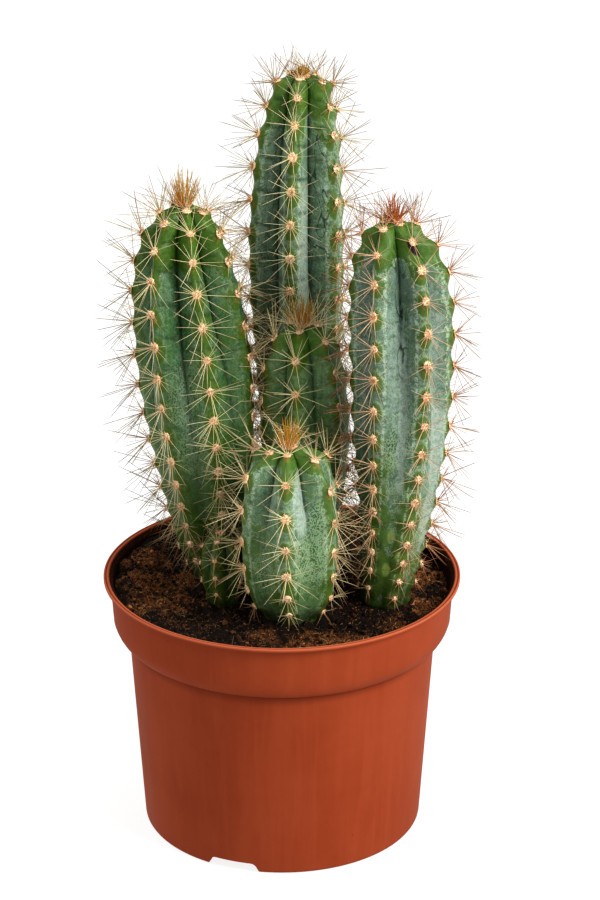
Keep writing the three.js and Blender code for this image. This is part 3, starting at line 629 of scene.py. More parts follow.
def areole_spines(stem, rib, along):
    """Rows of rib, along, angle, tilt, length, radius and share, for one areole."""
    rng = stem.rng
    height = float(stem.height_at(along))
    share = float(stem.share_at(height))
    crown = float(1 - ease(along, 8, 60))
    low = float(1 - ease(height - stem.foot, 8, 36))
    size = stem.spine_length * (1 - 0.5 * low) * (1 - stem.crown_cut * crown)
    rows = []

    def add(angle, length, tilts, radii, lift=0.0):
        tilt = math.radians(rng.uniform(*tilts) + lift)
        rows.append((rib, along, angle, tilt, length, rng.uniform(*radii), share))

    def some(fewest, below):
        return range(1 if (low > 0.6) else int(rng.integers(fewest, below)))

    radials = int(rng.integers(9, 13) - 5 * low - 2 * crown)
    span = math.radians(118 + 45 * crown)
    for k in range(radials):
        angle = (2 * (k + rng.uniform(-0.35, 0.35)) / (radials - 1) - 1) * span
        length = size * rng.uniform(0.75, 1.15) * (1 - 0.3 * (angle / math.pi) ** 2 * (1 - crown))
        add(math.pi + angle, length, (10, 48), (0.09, 0.125), 4 * crown)
    for k in some(1, 4):
        add(rng.uniform(-0.9, 0.9), size * (rng.uniform(0.25, 0.5) + 0.45 * crown), (25, 55),
            (0.1, 0.13))
    for k in some(3, 6):
        angle = math.pi * (rng.uniform() > 0.35 + 0.2 * crown) + rng.uniform(-1.4, 1.4)
        add(angle, size * rng.uniform(0.9, 1.3), (32, 76), (0.105, 0.145))
    return rows


def stem_spines(stem):
    """Radial and central spines of each areole, and the tuft on the crown."""
    rng = stem.rng
    rows = [row for rib, along in stem.areoles for row in areole_spines(stem, rib, along)]
    rib, along, angle, tilt, length, radius, share = np.array(rows).T
    place, side, up, normal = stem.frames(rib, along)
    spot = rng.uniform(0, 0.9, len(rows))
    roots = place + turned(up, side, angle) * spot[:, None] + normal * 0.35
    tips, kept = settle(stem, roots, side, up, normal, angle, tilt, length)
    # Spines on ribs that face the sides get a browner tone: painted shade
    sideways = np.sin(np.radians(stem.rib + 360 / stem.ribs * rib)) ** 2
    tone = np.clip(stem.tone + rng.normal(0, 0.14, len(rows)) + stem.side_tone * sideways
                   + 0.4 * ease(share, 0.7, 1), 0, 1)
    tone = np.minimum(0.84, tone + stem.crown_tone * (1 - ease(along, 6, 34)))
    tone = tone - stem.gold * (1 - ease(along, 10, 70))
    radius = radius * (1 + 0.25 * sideways)

    count = stem.tuft
    azimuth = rng.uniform(0, 360, count)
    reach = stem.tuft_radius * np.sqrt(rng.uniform(0, 1, count))
    middle = stem.centre_at(np.full(count, stem.top + 0.1))
    tuft_roots = middle + outward(azimuth) * reach[:, None]
    from_middle = reach / stem.tuft_radius
    lean = np.radians(90 - from_middle * rng.uniform(0.3, 1.15, count) * stem.tuft_fan)
    ahead = outward(azimuth + rng.uniform(-30, 30, count))
    east = xyz(ahead[:, 1], -ahead[:, 0], ahead[:, 2])
    sky = np.tile(UP, (count, 1))
    size = stem.tuft_length * rng.uniform(0.45, 1.0, count) * (1 - 0.45 * from_middle ** 2)
    tuft_tips, tuft_kept = settle(stem, tuft_roots, east, ahead, sky, np.zeros(count), lean, size)
    outer = ease(from_middle, 0.45, 0.95)
    tuft_tone = np.clip(stem.tuft_tone + (stem.tuft_edge - stem.tuft_tone) * outer
                        + rng.normal(0, 0.2, count), -1, 1.5)

    roots = np.vstack([roots[kept], tuft_roots[tuft_kept]])
    tips = shortened(roots, np.vstack([tips[kept], tuft_tips[tuft_kept]]))
    radii = np.append(radius[kept], rng.uniform(0.12, 0.18, tuft_kept.sum()))
    tones = np.append(tone[kept], tuft_tone[tuft_kept])
    reach = np.linalg.norm(tips - roots, axis=1)
    bends = rng.normal(0, 1, roots.shape) * reach[:, None] * 0.007
    return spike_object(f"{stem.name}_spines", (roots, tips, bends, radii, tones), 4,
                        [0, 0.08, 0.5, 0.86], [1.3, 1.0, 0.94, 0.72])


def wool_pads(stem):
    """A low woolly cushion on each areole, and one on the crown."""
    rng = stem.rng
    sides, rings = 9, np.array([0.34, 0.66, 0.9, 1.0])
    rise = np.array([0.9, 0.7, 0.35, -0.25])
    ribs, along = stem.areoles.T
    near = 1 - ease(along, 5, 40)
    low = ease(stem.share_at(stem.height_at(along)), 0.65, 1)
    size = stem.pad * (1 - 0.05 * near - 0.3 * low) * rng.uniform(0.88, 1.12, len(along))
    lift = 0.5 * rng.uniform(0.8, 1.2, len(along)) * (1 + 0.3 * near)
    crown = (stem.centre_at(np.array([float(stem.top)])), [1, 0, 0], [0, 1, 0], [0, 0, 1])
    place, side, up, normal = (np.vstack(pair) for pair in zip(stem.frames(ribs, along), crown))
    size = np.append(size, stem.tuft_radius + 0.4)
    lift = np.append(lift, 1.2)
    count = len(place)
    turn = circle(sides)[None]
    domes = []
    for reach, high in zip(rings, rise):
        wobble = rng.uniform(0.8, 1.16, (count, sides))
        x = np.cos(turn) * reach * size[:, None] * wobble
        y = np.sin(turn) * reach * size[:, None] * wobble * 1.06
        z = high * lift[:, None] * rng.uniform(0.6, 1.35, (count, sides))
        domes.append(place[:, None] + side[:, None] * x[..., None] + up[:, None] * y[..., None]
                     + normal[:, None] * z[..., None])
    domes.append((place + normal * lift[:, None] * 1.02)[:, None])
    domes = np.concatenate(domes, 1)
    size_each = domes.shape[1]
    last = (len(rings) - 1) * sides
    ends = [[len(rings) * sides, i, (i + 1) % sides] for i in range(sides)]
    ends += [[last, last + i + 1, last + i] for i in range(1, sides - 1)]

    hairs = 52
    owner = np.append(np.repeat(np.arange(count), hairs), np.full(hairs * 3, count - 1))
    angle = rng.uniform(0, FULL_TURN, len(owner))
    far = np.sqrt(rng.uniform(0, 1, len(owner)))
    level = turned(side[owner], up[owner], angle)
    roots = (place[owner] + level * (far * size[owner] * 0.95)[:, None]
             + normal[owner] * (lift[owner] * (0.85 - 0.9 * far ** 2))[:, None])
    lean = (level * (0.3 + 1.1 * far)[:, None]
            + normal[owner] * rng.uniform(0.35, 0.9, (len(owner), 1)))
    lean += rng.normal(0, 0.3, lean.shape)
    stub = rng.uniform(0, 1, len(owner)) < 0.5
    reach = np.where(stub, rng.uniform(0.8, 1.7, len(owner)), rng.uniform(0.8, 1.8, len(owner)))
    scale = np.minimum(1.2, size[owner] / 1.85)
    tips = roots + unit(lean) * (reach * scale)[:, None]
    fuzz, _, fuzz_ends = tubes(roots, tips, np.zeros_like(roots),
                               np.where(stub, 0.28, 0.08) * scale, 3, [0.0], [1.0])
    obj = new_object(
        f"{stem.name}_wool", np.vstack([domes.reshape(-1, 3), fuzz.reshape(-1, 3)]),
        repeated(grid_faces(len(rings), sides), count, size_each),
        np.vstack([repeated(np.array(ends), count, size_each),
                   repeated(fuzz_ends, len(owner), 4) + count * size_each]))
    dome_tone = np.append(rng.uniform(0.2, 0.8, count)[:-1], 0.95)
    dome_far = np.append(np.repeat(rings, sides), 0)
    fuzz_tone = np.minimum(rng.uniform(0, 1, len(owner)) + 0.4 * (owner == count - 1), 1)
    paint(obj, tone=np.append(np.repeat(dome_tone, size_each), np.repeat(fuzz_tone, 4)),
          far=np.append(np.tile(dome_far, count), np.repeat(far, 4)))
    return obj


# Pot
def curve(a, b, c, parts):
    """Points of an arc from a to c that bends towards b."""
    t = np.linspace(0, 1, parts)[:, None]
    return (1 - t) ** 2 * a + 2 * t * (1 - t) * b + t * t * c


def rounded(corners):
    """An outline whose corners, given as (x, y, rounding), are rounded."""
    line = []
    for i, (x, y, size) in enumerate(corners):
        here = np.array([x, y], float)
        if size == 0 or i in (0, len(corners) - 1):
            line.append(here)
            continue
        before = np.array(corners[i - 1][:2], float) - here
        after = np.array(corners[i + 1][:2], float) - here
        reach = min(size, np.linalg.norm(before) * 0.49, np.linalg.norm(after) * 0.49)
        line.extend(curve(here + unit(before) * reach, here, here + unit(after) * reach, 5))
    return np.array(line)


def pot_profile():
    """The pot's section from the middle of its underside round to the middle of its floor."""
    lip_foot = POT_HEIGHT - LIP_HEIGHT
    floor_top = CHANNEL_HEIGHT + FLOOR
    wall = [(BASE_RADIUS + (CREASE_RADIUS - BASE_RADIUS) * z / CREASE, z)
            for z in (12, 30, 48, 66, 84, 92)]
    band = [(BAND_FOOT_RADIUS + (BAND_TOP_RADIUS - BAND_FOOT_RADIUS) * (z - BAND_FOOT)
             / (lip_foot - BAND_FOOT), z) for z in (110, 115, 120)]
    bend = curve(*np.array([[CREASE_RADIUS, CREASE], [BEND_RADIUS, BEND],
                            [BAND_FOOT_RADIUS, BAND_FOOT]]), 9)
    outside = [*wall, *bend, *band]
    inside = [(r - WALL, z) for r, z in [*wall, *(bend + [0, 1.0]), *band]]
    return rounded([
        (0, 0, 0), (20, 0, 0), (40, 0, 0), (CHANNEL_INNER_RADIUS, 0, 0.8),
        (CHANNEL_INNER_RADIUS, CHANNEL_HEIGHT, 0.8),
        (FOOT_RING_INNER_RADIUS, CHANNEL_HEIGHT, 0.8), (FOOT_RING_INNER_RADIUS, 0, 0.6),
        (BASE_RADIUS, 0, 2.4), *[(r, z, 0) for r, z in outside],
        (BAND_TOP_RADIUS, lip_foot, 0.7), (LIP_RADIUS, lip_foot, 0.7),
        *[(r, POT_HEIGHT + z, size) for r, z, size in LIP],
        (BAND_TOP_RADIUS - WALL, lip_foot - 0.6, 0.4), *[(r, z, 0) for r, z in inside[::-1]],
        (BASE_RADIUS - WALL + 0.4, floor_top, 0.8), (CHANNEL_INNER_RADIUS - FLOOR, floor_top, 0.6),
        (CHANNEL_INNER_RADIUS - FLOOR, FLOOR, 0.6), (0, FLOOR, 0)])


def prism(low, high):
    """A solid between two outlines: its points, quads and triangles."""
    count = len(low)
    quads = [[i, (i + 1) % count, count + (i + 1) % count, count + i] for i in range(count)]
    caps = [[0, i + 1, i] for i in range(1, count - 1)]
    caps += [[count, count + i, count + i + 1] for i in range(1, count - 1)]
    return np.vstack([low, high]), np.array(quads), np.array(caps)


def pot_cutter():
    """Three notches in the foot and six drain holes, as one object."""
    shapes = []
    across, up = rounded(NOTCH)[::-1].T
    for i in range(3):
        azimuth = NOTCH_AZIMUTH + 120 * i
        outline = across[:, None] * outward(azimuth + 90) + up[:, None] * UP
        shapes.append(prism(*(outline + outward(azimuth) * reach for reach in NOTCH_DEPTH)))
    turn = circle(HOLE_SIDES)
    hole = xyz(np.cos(turn) * HOLE_RADIUS, np.sin(turn) * HOLE_RADIUS, CHANNEL_HEIGHT)
    for i in range(6):
        middle = (CHANNEL_INNER_RADIUS + FOOT_RING_INNER_RADIUS) / 2
        ring = hole + outward(NOTCH_AZIMUTH + 60 * i) * middle
        shapes.append(prism(ring - 1.5 * UP, ring + 3 * UP))
    shifts = np.cumsum([0] + [len(points) for points, _, _ in shapes])
    points, quads, caps = zip(*[(points, quads + shift, caps + shift)
                                for (points, quads, caps), shift in zip(shapes, shifts)])
    return new_object("cutter", np.vstack(points), np.vstack(quads), np.vstack(caps))


def pot_object():
    profile = pot_profile()
    turn = circle(POT_SIDES)
    radii = profile[1:-1, :1]
    pot = ringed_object("pot_body", xyz(radii * np.sin(turn), -radii * np.cos(turn),
                                        profile[1:-1, 1:]),
                        [0, 0, profile[0][1]], [0, 0, profile[-1][1]], True)
    cutter = pot_cutter()
    modifier = pot.modifiers.new("cut", "BOOLEAN")
    modifier.operation = "DIFFERENCE"
    modifier.solver = "EXACT"
    modifier.object = cutter
    graph = bpy.context.evaluated_depsgraph_get()
    cut = bpy.data.meshes.new_from_object(pot.evaluated_get(graph))
    pot.modifiers.clear()
    pot.data = cut
    bpy.data.objects.remove(cutter)
    cut.polygons.foreach_set("use_smooth", np.full(len(cut.polygons), True))
    cut.set_sharp_from_angle(angle=math.radians(42))
    x, y, z = np.array([vertex.co for vertex in cut.vertices]).T / MM
    across = np.hypot(x, y)
    wall = np.interp(z, [0, CREASE, BAND_FOOT, POT_HEIGHT],
                     [BASE_RADIUS, CREASE_RADIUS, BAND_FOOT_RADIUS, BAND_TOP_RADIUS])
    # Painted shade with peat smears: the whole inside and the lip's inner slope are darkened
    inside = (across < wall - WALL / 4) & (z > CHANNEL_HEIGHT + 1)
    inside |= (across < LIP_INSIDE) & (z > 125.35)
    # Painted shade: a dark line in the lip's groove and a thin one along the crease at the band's
    # foot
    lip_groove = (np.abs(across - LIP_GROOVE) < 0.35) * (z > 125.8) * 0.7
    band_line = ease(z, 96.2, 96.9) * (1 - ease(z, 97.1, 98.4)) * (across > wall - WALL / 2)
    # Painted highlights: lighter lines on the lip's outer edge and along its ridge
    paint(pot, dirt=inside * (1 - 0.6 * ease(z, 126.3, 126.8)),
          edge=((across > LIP_EDGE) * ease(z, 125.9, LIP_TOP)
                + (np.abs(across - LIP_RIDGE) < 0.45) * (z > LIP_TOP)),
          under=lip_groove + band_line)
    return pot


# Soil
def soil_detail(x, y):
    """Fine height of the peat: lumps, crumbs and a rise against each stem."""
    flat = xyz(x, y, 0.0)
    lumps = 1 - np.abs(noise(flat, 7.5, SEED + 40))
    crumbs = 1 - np.abs(noise(flat, 3.1, SEED + 41))
    grains = noise(flat, 1.3, SEED + 42)
    reach = np.hypot(x, y)
    leftward = np.exp(-((np.degrees(np.arctan2(x, -y)) + 92) / 46) ** 2)
    bank = 5.4 * leftward * ease(reach, 52, 76)
    height = soil_height(x, y) + 1.6 * (lumps - 0.6) + 1.3 * (crumbs - 0.6) + 0.35 * grains + bank
    for stem in stems:
        middle_x, middle_y = stem.centre[0][1:]
        far = np.hypot(x - middle_x, y - middle_y) - stem.girth[-1][0]
        height = height + 1.8 * np.exp(-(np.maximum(far, 0) / 4.5) ** 2)
    return height - 0.6 * ease(reach, 73, 80)


def pale_and_lit_share(x, y):
    """How far a place lies in a paler patch of peat, some of it painted light, with ragged edges.
    """
    flat = xyz(x, y, 0.0)
    ragged = 0.5 * noise(flat, 6, SEED + 50) + 0.4 * noise(flat, 2.4, SEED + 51)
    total = np.zeros(np.shape(x))
    for middle_x, middle_y, radius, strength in PALE_AND_LIT_SPOTS:
        far = np.hypot(x - middle_x, y - middle_y) / radius
        total = np.maximum(total, strength * (1 - ease(far + ragged, 0.5, 1.4)))
    return total


def soil_object():
    """The peat: a fine top and a plain body inside the pot."""
    spacing, columns = ((0.85, 480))
    radii = np.concatenate([[0.8], np.arange(1.9, 79.1, spacing), [SOIL_RADIUS]])[:, None]
    turn = circle(columns)[None]
    x, y = radii * np.sin(turn), -radii * np.cos(turn)
    shake = 0.3 * noise(xyz(x, y, 0.0), 2.0, SEED + 43) * (radii <= 78.5)
    x, y = x + shake * np.sin(turn), y - shake * np.cos(turn)
    gap = WALL + 0.25
    under, base = FLOOR + SOIL_GAP, CHANNEL_HEIGHT + FLOOR + SOIL_GAP
    radii, levels = np.array([
        (BAND_FOOT_RADIUS - gap, BAND_FOOT + 1), (CREASE_RADIUS - gap, CREASE + 1),
        (BASE_RADIUS - gap + 0.5, base), (CHANNEL_INNER_RADIUS - FLOOR - 0.3, base),
        (CHANNEL_INNER_RADIUS - FLOOR - 0.3, under)]).T[..., None]
    points = np.concatenate([xyz(x, y, soil_detail(x, y)),
                             xyz(radii * np.sin(turn), -radii * np.cos(turn), levels)])
    middle = float(soil_detail(np.array(0.0), np.array(0.0)))
    peat = ringed_object("soil_peat", points, [0, 0, middle], [0, 0, under])
    paint(peat, clump=pale_and_lit_share(*(np.append(points[..., i], [0, 0]) for i in (0, 1))))
    return peat


def icosahedron():
    golden = (1 + 5 ** 0.5) / 2
    plane = np.array([[-1, golden, 0], [1, golden, 0], [-1, -golden, 0], [1, -golden, 0]])
    faces = [[0, 11, 5], [0, 5, 1], [0, 1, 7], [0, 7, 10], [0, 10, 11], [1, 5, 9], [5, 11, 4],
             [11, 10, 2], [10, 7, 6], [7, 1, 8], [3, 9, 4], [3, 4, 2], [3, 2, 6], [3, 6, 8],
             [3, 8, 9], [4, 9, 5], [2, 4, 11], [6, 2, 10], [8, 6, 7], [9, 8, 1]]
    return unit(np.vstack([np.roll(plane, i, 1) for i in range(3)])), np.array(faces)


def scattered(rng, count, reach):
    """Places on the soil that are clear of the stems."""
    azimuth = rng.uniform(0, 360, count)
    radius = reach * np.sqrt(rng.uniform(0, 1, count))
    spot = outward(azimuth) * radius[:, None] + ABOVE_SOIL * UP
    spot = spot[np.all([stem.outside_by(spot) > 0.2 for stem in stems], axis=0)]
    spot[:, 2] = soil_detail(spot[:, 0], spot[:, 1])
    return spot


def crumb_object():
    """Loose crumbs of peat and bits of bark."""
    rng = np.random.default_rng(SEED + 60)
    spot = scattered(rng, CRUMBS, LOOSE_REACH)
    count = len(spot)
    shape, faces = icosahedron()
    size = 0.28 + 0.95 * rng.uniform(0, 1, count) ** 4
    squash = rng.uniform(0.45, 1.5, (count, 1, 3))
    knobs = rng.uniform(0.7, 1.25, (count, 12, 1))
    turn = rng.uniform(0, FULL_TURN, count)[:, None]
    x, y, z = np.moveaxis(shape[None] * squash * knobs * size[:, None, None], -1, 0)
    body = xyz(x * np.cos(turn) - y * np.sin(turn), x * np.sin(turn) + y * np.cos(turn), z * 0.8)
    body = body + spot[:, None]
    body[..., 2] += (size * 0.2)[:, None]
    obj = new_object("soil_crumbs", body.reshape(-1, 3), repeated(faces, count, 12), smooth=False)
    tone = rng.uniform(0, 1, count) ** 2.2 + 0.35 * pale_and_lit_share(spot[:, 0], spot[:, 1])
    paint(obj, tone=np.repeat(tone, 12))
    return obj


def fibre_object():
    """Pale root fibres and sphagnum strands on the peat."""
    rng = np.random.default_rng(SEED + 61)
    roots = scattered(rng, FIBRES, LOOSE_REACH - 1)
    count = len(roots)
    direction = outward(rng.uniform(0, 360, count))
    direction[:, 2] = rng.uniform(-0.1, 0.55, count)
    length = 1.2 + 5 * rng.uniform(0, 1, count) ** 2.5
    tips = roots + unit(direction) * length[:, None]
    tips[:, 2] = np.maximum(tips[:, 2], soil_detail(tips[:, 0], tips[:, 1]) + 0.1)
    raised = np.maximum(tips, [-999, -999, ABOVE_SOIL])
    kept = np.all([stem.outside_by(raised) > 0.3 for stem in stems], axis=0)
    kept &= np.hypot(tips[:, 0], tips[:, 1]) < LOOSE_REACH
    roots, tips, length = roots[kept], tips[kept], length[kept]
    bends = rng.normal(0, 0.1, roots.shape) * length[:, None]
    bends[:, 2] = np.abs(bends[:, 2]) * 1.2
    radii = rng.uniform(0.06, 0.14, len(roots))
    bright = pale_and_lit_share(roots[:, 0], roots[:, 1])
    tones = rng.uniform(0, 1, len(roots)) ** 1.8 * (0.4 + 0.6 * bright) + 0.3 * bright
    return spike_object("soil_fibres", (roots, tips, bends, radii, np.clip(tones, 0, 1)),
                        3, [0, 0.25, 0.5, 0.75], [0.7, 1, 1, 0.8])


# Materials
def linear(*shown):
    """A colour given as it looks on a screen, 0 to 255."""
    values = [c / 255 for c in shown]
    return [c / 12.92 if c <= 0.04045 else ((c + 0.055) / 1.055) ** 2.4 for c in values] + [1.0]


class Wire:
    """A node's output; sums, products and smooth steps of it add nodes."""

    def __init__(self, look, socket):
        self.look, self.socket = look, socket

    def __add__(self, other):
        return self.look.math("ADD", self, other)

    def __sub__(self, number):
        return self + -number

    def __rsub__(self, number):
        return self.look.math("SUBTRACT", number, self)

    def __mul__(self, other):
        return self.look.math("MULTIPLY", self, other)

    def step(self, low, high, start=0.0, end=1.0):
        inputs = {"Value": self, "From Min": low, "From Max": high, "To Min": start, "To Max": end}
        return self.look.node("MapRange", inputs, interpolation_type="SMOOTHSTEP")


class Look:
    """A procedural material, built node by node."""

    def __init__(self, name):
        self.material = bpy.data.materials.new(name)
        self.material.use_nodes = True
        self.tree = self.material.node_tree
        self.tree.nodes.clear()
        self.shader = self.tree.nodes.new("ShaderNodeBsdfPrincipled")
        output = self.tree.nodes.new("ShaderNodeOutputMaterial")
        self.tree.links.new(self.shader.outputs[0], output.inputs[0])
        self.place = self.node("TexCoord", {}, "Object")

    def put(self, socket, value):
        """Links a wire or sets a number; three numbers for a colour are as a screen shows it."""
        if isinstance(value, Wire):
            self.tree.links.new(value.socket, socket)
        elif socket.type == "RGBA" and len(value) == 3:
            socket.default_value = linear(*value)
        else:
            socket.default_value = value

    def set(self, **values):
        for name, value in values.items():
            self.put(self.shader.inputs[name.replace("_", " ")], value)

    def node(self, kind, inputs, output=0, **settings):
        node = self.tree.nodes.new("ShaderNode" + kind)
        for name, value in settings.items():
            setattr(node, name, value)
        for name, value in inputs.items():
            self.put(node.inputs[name], value)
        return Wire(self, node.outputs[output])

    def fields(self, names):
        """The attributes that paint() has kept."""
        return [self.node("Attribute", {}, "Fac", attribute_name=name) for name in names.split()]

    def math(self, operation, a, b=0.0, clamp=False):
        return self.node("Math", {0: a, 1: b}, operation=operation, use_clamp=clamp)

    def coats(self, colour, *coats):
        """A colour with others laid over it, each as (share, colour)."""
        for share, coat in coats:
            colour = self.node("Mix", {0: share, 6: colour, 7: coat}, 2, data_type="RGBA")
        return colour

    def stretched(self, x, y, z):
        return self.node("Mapping", {"Vector": self.place, "Scale": (x, y, z)})

    def noise(self, scale, detail=2.0, roughness=0.5, distortion=0.0, vector=None):
        return self.node("TexNoise", {
            "Vector": vector or self.place, "Scale": scale, "Detail": detail,
            "Roughness": roughness, "Distortion": distortion})

    def cells(self, scale, output="Distance", vector=None):
        return self.node("TexVoronoi", {"Vector": vector or self.place, "Scale": scale}, output)

    def bump(self, height, strength, distance):
        self.set(Normal=self.node("Bump", {"Strength": strength, "Distance": distance,
                                           "Height": height}))


def skin_look(name, wax, deep, bright, wax_colour, streaks, ridge, shade, fade,
              green_top=(0.065, 0.135)):
    """Waxy cactus skin: green below, a bluish bloom that is worn away in patches above."""
    look = Look(name)
    side, share, pad, worn, bare, sharp, chalk, crease, cracked, spots, scars = look.fields(
        "side share pad worn bare sharp chalk crease cracked spots scars")
    broad = look.noise(55, 3, 0.55)
    middle = look.noise(210, 4, 0.6, 0.4)
    flecks = look.noise(640, 4, 0.65, 1.0)
    fine = look.noise(1400, 4, 0.7)
    upright = look.noise(1, 3, 0.6, 0.3, look.stretched(560, 560, 30))
    ragged = (middle.step(0.36, 0.64, -0.45, 0.45) + flecks.step(0.36, 0.64, -0.42, 0.42)
              + fine.step(0.36, 0.64, -0.28, 0.28))

    # Green skin
    around = pad + ragged * 2.3
    halo = around.step(2.0, 6.2, 1, 0)
    near = around.step(2.5, 10, 1, 0)
    crest = (side + ragged * 0.1).step(0.06, 0.36, 1, 0)
    tip = (share + (broad - 0.5) * 0.12).step(0.02, 0.16, 1, 0)
    young = (share + (broad - 0.5) * 0.1 + (ragged * 0.016 + side * 0.03)).step(*green_top, 1, 0)
    low = share.step(0.8, 1.0)
    green = look.coats(
        deep, (middle.step(0.4, 0.6), bright), (crest * 0.4, bright),
        (tip * flecks.step(0.38, 0.6, 0.3, 0.75), (58, 104, 0)),
        (near * (1 - side * 0.6) * 0.6, (76, 100, 20)), (low * 0.3, (74, 80, 30)),
        (fine.step(0.42, 0.62, 0, 0.4), (28, 56, 14)),
        (flecks.step(0.46, 0.62, 0, 0.3), (92, 114, 44)))

    # Bloom, and where it is worn off
    wear = (halo * 0.36 + (crest * ridge + near * 0.3) + (young * 0.95 + low * 0.35) + bare * 0.9
            + broad.step(0.38, 0.55, 0.14, 0))
    cover = (wear + ragged * 0.34).step(0.2, 0.75, 1, 0)
    lace = (cover.step(0.2, 0.45) * cover.step(0.55, 0.85, 1, 0) * fine.step(0.4, 0.52)
            * max(0.0, 2 * wax - 1))
    holes = look.cells(1200, vector=look.stretched(1, 1, 0.8)) + (middle - 0.5) * 0.5
    holes = holes.step(0.4, 0.5, 1, 0)
    cover = (cover * (1 - worn * holes) * flecks.step(0.38, 0.56, 0.5, 1.08)
             * fine.step(0.4, 0.55, 0.58, 1.1)
             * upright.step(0.35, 0.68, 1 - streaks, 1 + streaks * 0.4))
    cover = look.math("MULTIPLY", cover, wax, True)
    cover = look.math("MAXIMUM", cover, fine.step(0.5, 0.66, 0, 0.3 * wax))
    bloom = look.coats(
        wax_colour, ((broad + ragged * 0.12).step(0.4, 0.68, 0, 0.5), (134, 156, 142)),
        (share.step(*fade, 0, 0.75), (82, 112, 66)))

    # Marks, with a painted highlight on the rib shoulders and painted shade in grooves and furrows
    # Painted highlight: a pale band along both shoulders of each rib, where the crest turns into
    # the flank
    shoulder_highlight = (side.step(0.24, 0.31) * side.step(0.35, 0.43, 1, 0) * max(0.2, 2 * wax - 1)
           * flecks.step(0.42, 0.58))
    # Painted shade: darker into the grooves, narrow where they are sharp, wider by the stem's shade
    groove = (side.step(0.86, 1.0) * sharp * 0.25
              + side.step(0.45, 1.0) * (1 - low * 0.5) * shade)
    cork = pad.step(1.8, 2.9, 1, 0) * flecks.step(0.45, 0.6) * 0.55
    wander = look.noise(95, 2, 0.5, 1.2, look.stretched(1, 1, 0.3))
    crack = look.math("ABSOLUTE", wander - 0.5).step(0.006, 0.022, 1, 0)
    crack = crack * cracked * broad.step(0.36, 0.46)
    scar = (scars + ragged * 0.45).step(0.3, 0.6) * scars.step(0.02, 0.2)
    freckle = (look.math("LESS_THAN", look.cells(95), 0.07)
               * look.math("GREATER_THAN", look.noise(33, 1), 0.56))
    colour = look.coats(
        green, (cover, bloom), (lace * 0.5, (150, 168, 138)),
        (worn.step(0.3, 0.9) * (1 - holes) * (0.3 * wax), (150, 174, 142)),
        (chalk * (1 - young) * (1 - halo) * flecks.step(0.36, 0.6, 0.45, 0.85), (150, 166, 156)),
        (shoulder_highlight * (1 - halo) * (1 - young) * 0.65, (160, 178, 158)), (groove, (14, 30, 12)),
        # Painted shade in the furrows below the dips, scaled by the stem's shade
        (crease * middle.step(0.3, 0.55) * min(0.8, 2.6 * shade), (26, 48, 22)),
        (cork, (150, 92, 30)), (crack * 0.8, (22, 34, 20)),
        (spots * flecks.step(0.3, 0.55, 0.3, 0.9), (142, 160, 84)), (scar, (34, 14, 12)),
        # The last coat darkens the skin towards the soil: painted contact shade, with some soil
        # stain
        (freckle * 0.5, (140, 128, 70)), (share.step(0.9, 1.0, 0, 0.6), (22, 32, 14)))
    look.set(Base_Color=colour, Roughness=cover.step(0.0, 0.8, 0.42, 0.6),
             Specular_IOR_Level=0.22, Subsurface_Weight=0.06, Subsurface_Radius=(0.8, 1.4, 0.4),
             Subsurface_Scale=0.0015)
    look.bump(flecks * 0.5 + upright * 0.4 + look.cells(420) * -0.3
              + (worn * holes * -0.3 + crack * -0.6), 0.55, 0.0005)
    return look.material


def spine_look(name, pale, brown):
    look = Look(name)
    tone, along = look.fields("tone along")
    gold = look.coats((198, 128, 6), (along.step(0.1, 0.9), (160, 120, 22)))
    rust = look.coats((206, 104, 36), (along.step(0.1, 0.9), (158, 82, 36)))
    grain = look.noise(1, 2, 0.6, 0, look.stretched(2600, 2600, 900))
    straw = look.coats(
        pale, (tone, brown), (along.step(0.0, 0.2, 0.4, 0), (214, 142, 76)),
        (along.step(0.35, 0.9, 0, 0.85) * tone.step(0.05, 0.5, 0.3, 1), (76, 50, 28)),
        (tone.step(-0.9, 0.0, 0.95, 0), gold), (tone.step(0.85, 1.2, 0, 0.9), rust),
        (grain.step(0.4, 0.75, 0, 0.2), (140, 92, 54)))
    look.set(Base_Color=straw, Roughness=0.6, Specular_IOR_Level=0.05)
    look.bump(grain, 0.2, 0.0001)
    return look.material


def wool_look():
    look = Look("wool")
    tone, far = look.fields("tone far")
    tuft = look.noise(2200, 3, 0.7)
    colour = look.coats(
        (255, 238, 208), (tone, (246, 196, 144)), (tone.step(0.88, 0.94, 0, 0.75), (206, 118, 44)),
        (far.step(0.85, 1.0, 0, 0.35), (196, 134, 76)),
        (look.cells(1300).step(0.1, 0.24, 0.55, 0), (184, 100, 52)),
        (tuft.step(0.42, 0.58, 0.2, 0), (214, 156, 100)))
    look.set(Base_Color=colour, Roughness=0.95, Sheen_Weight=0.35, Sheen_Roughness=0.5)
    look.bump(tuft, 0.6, 0.0004)
    return look.material


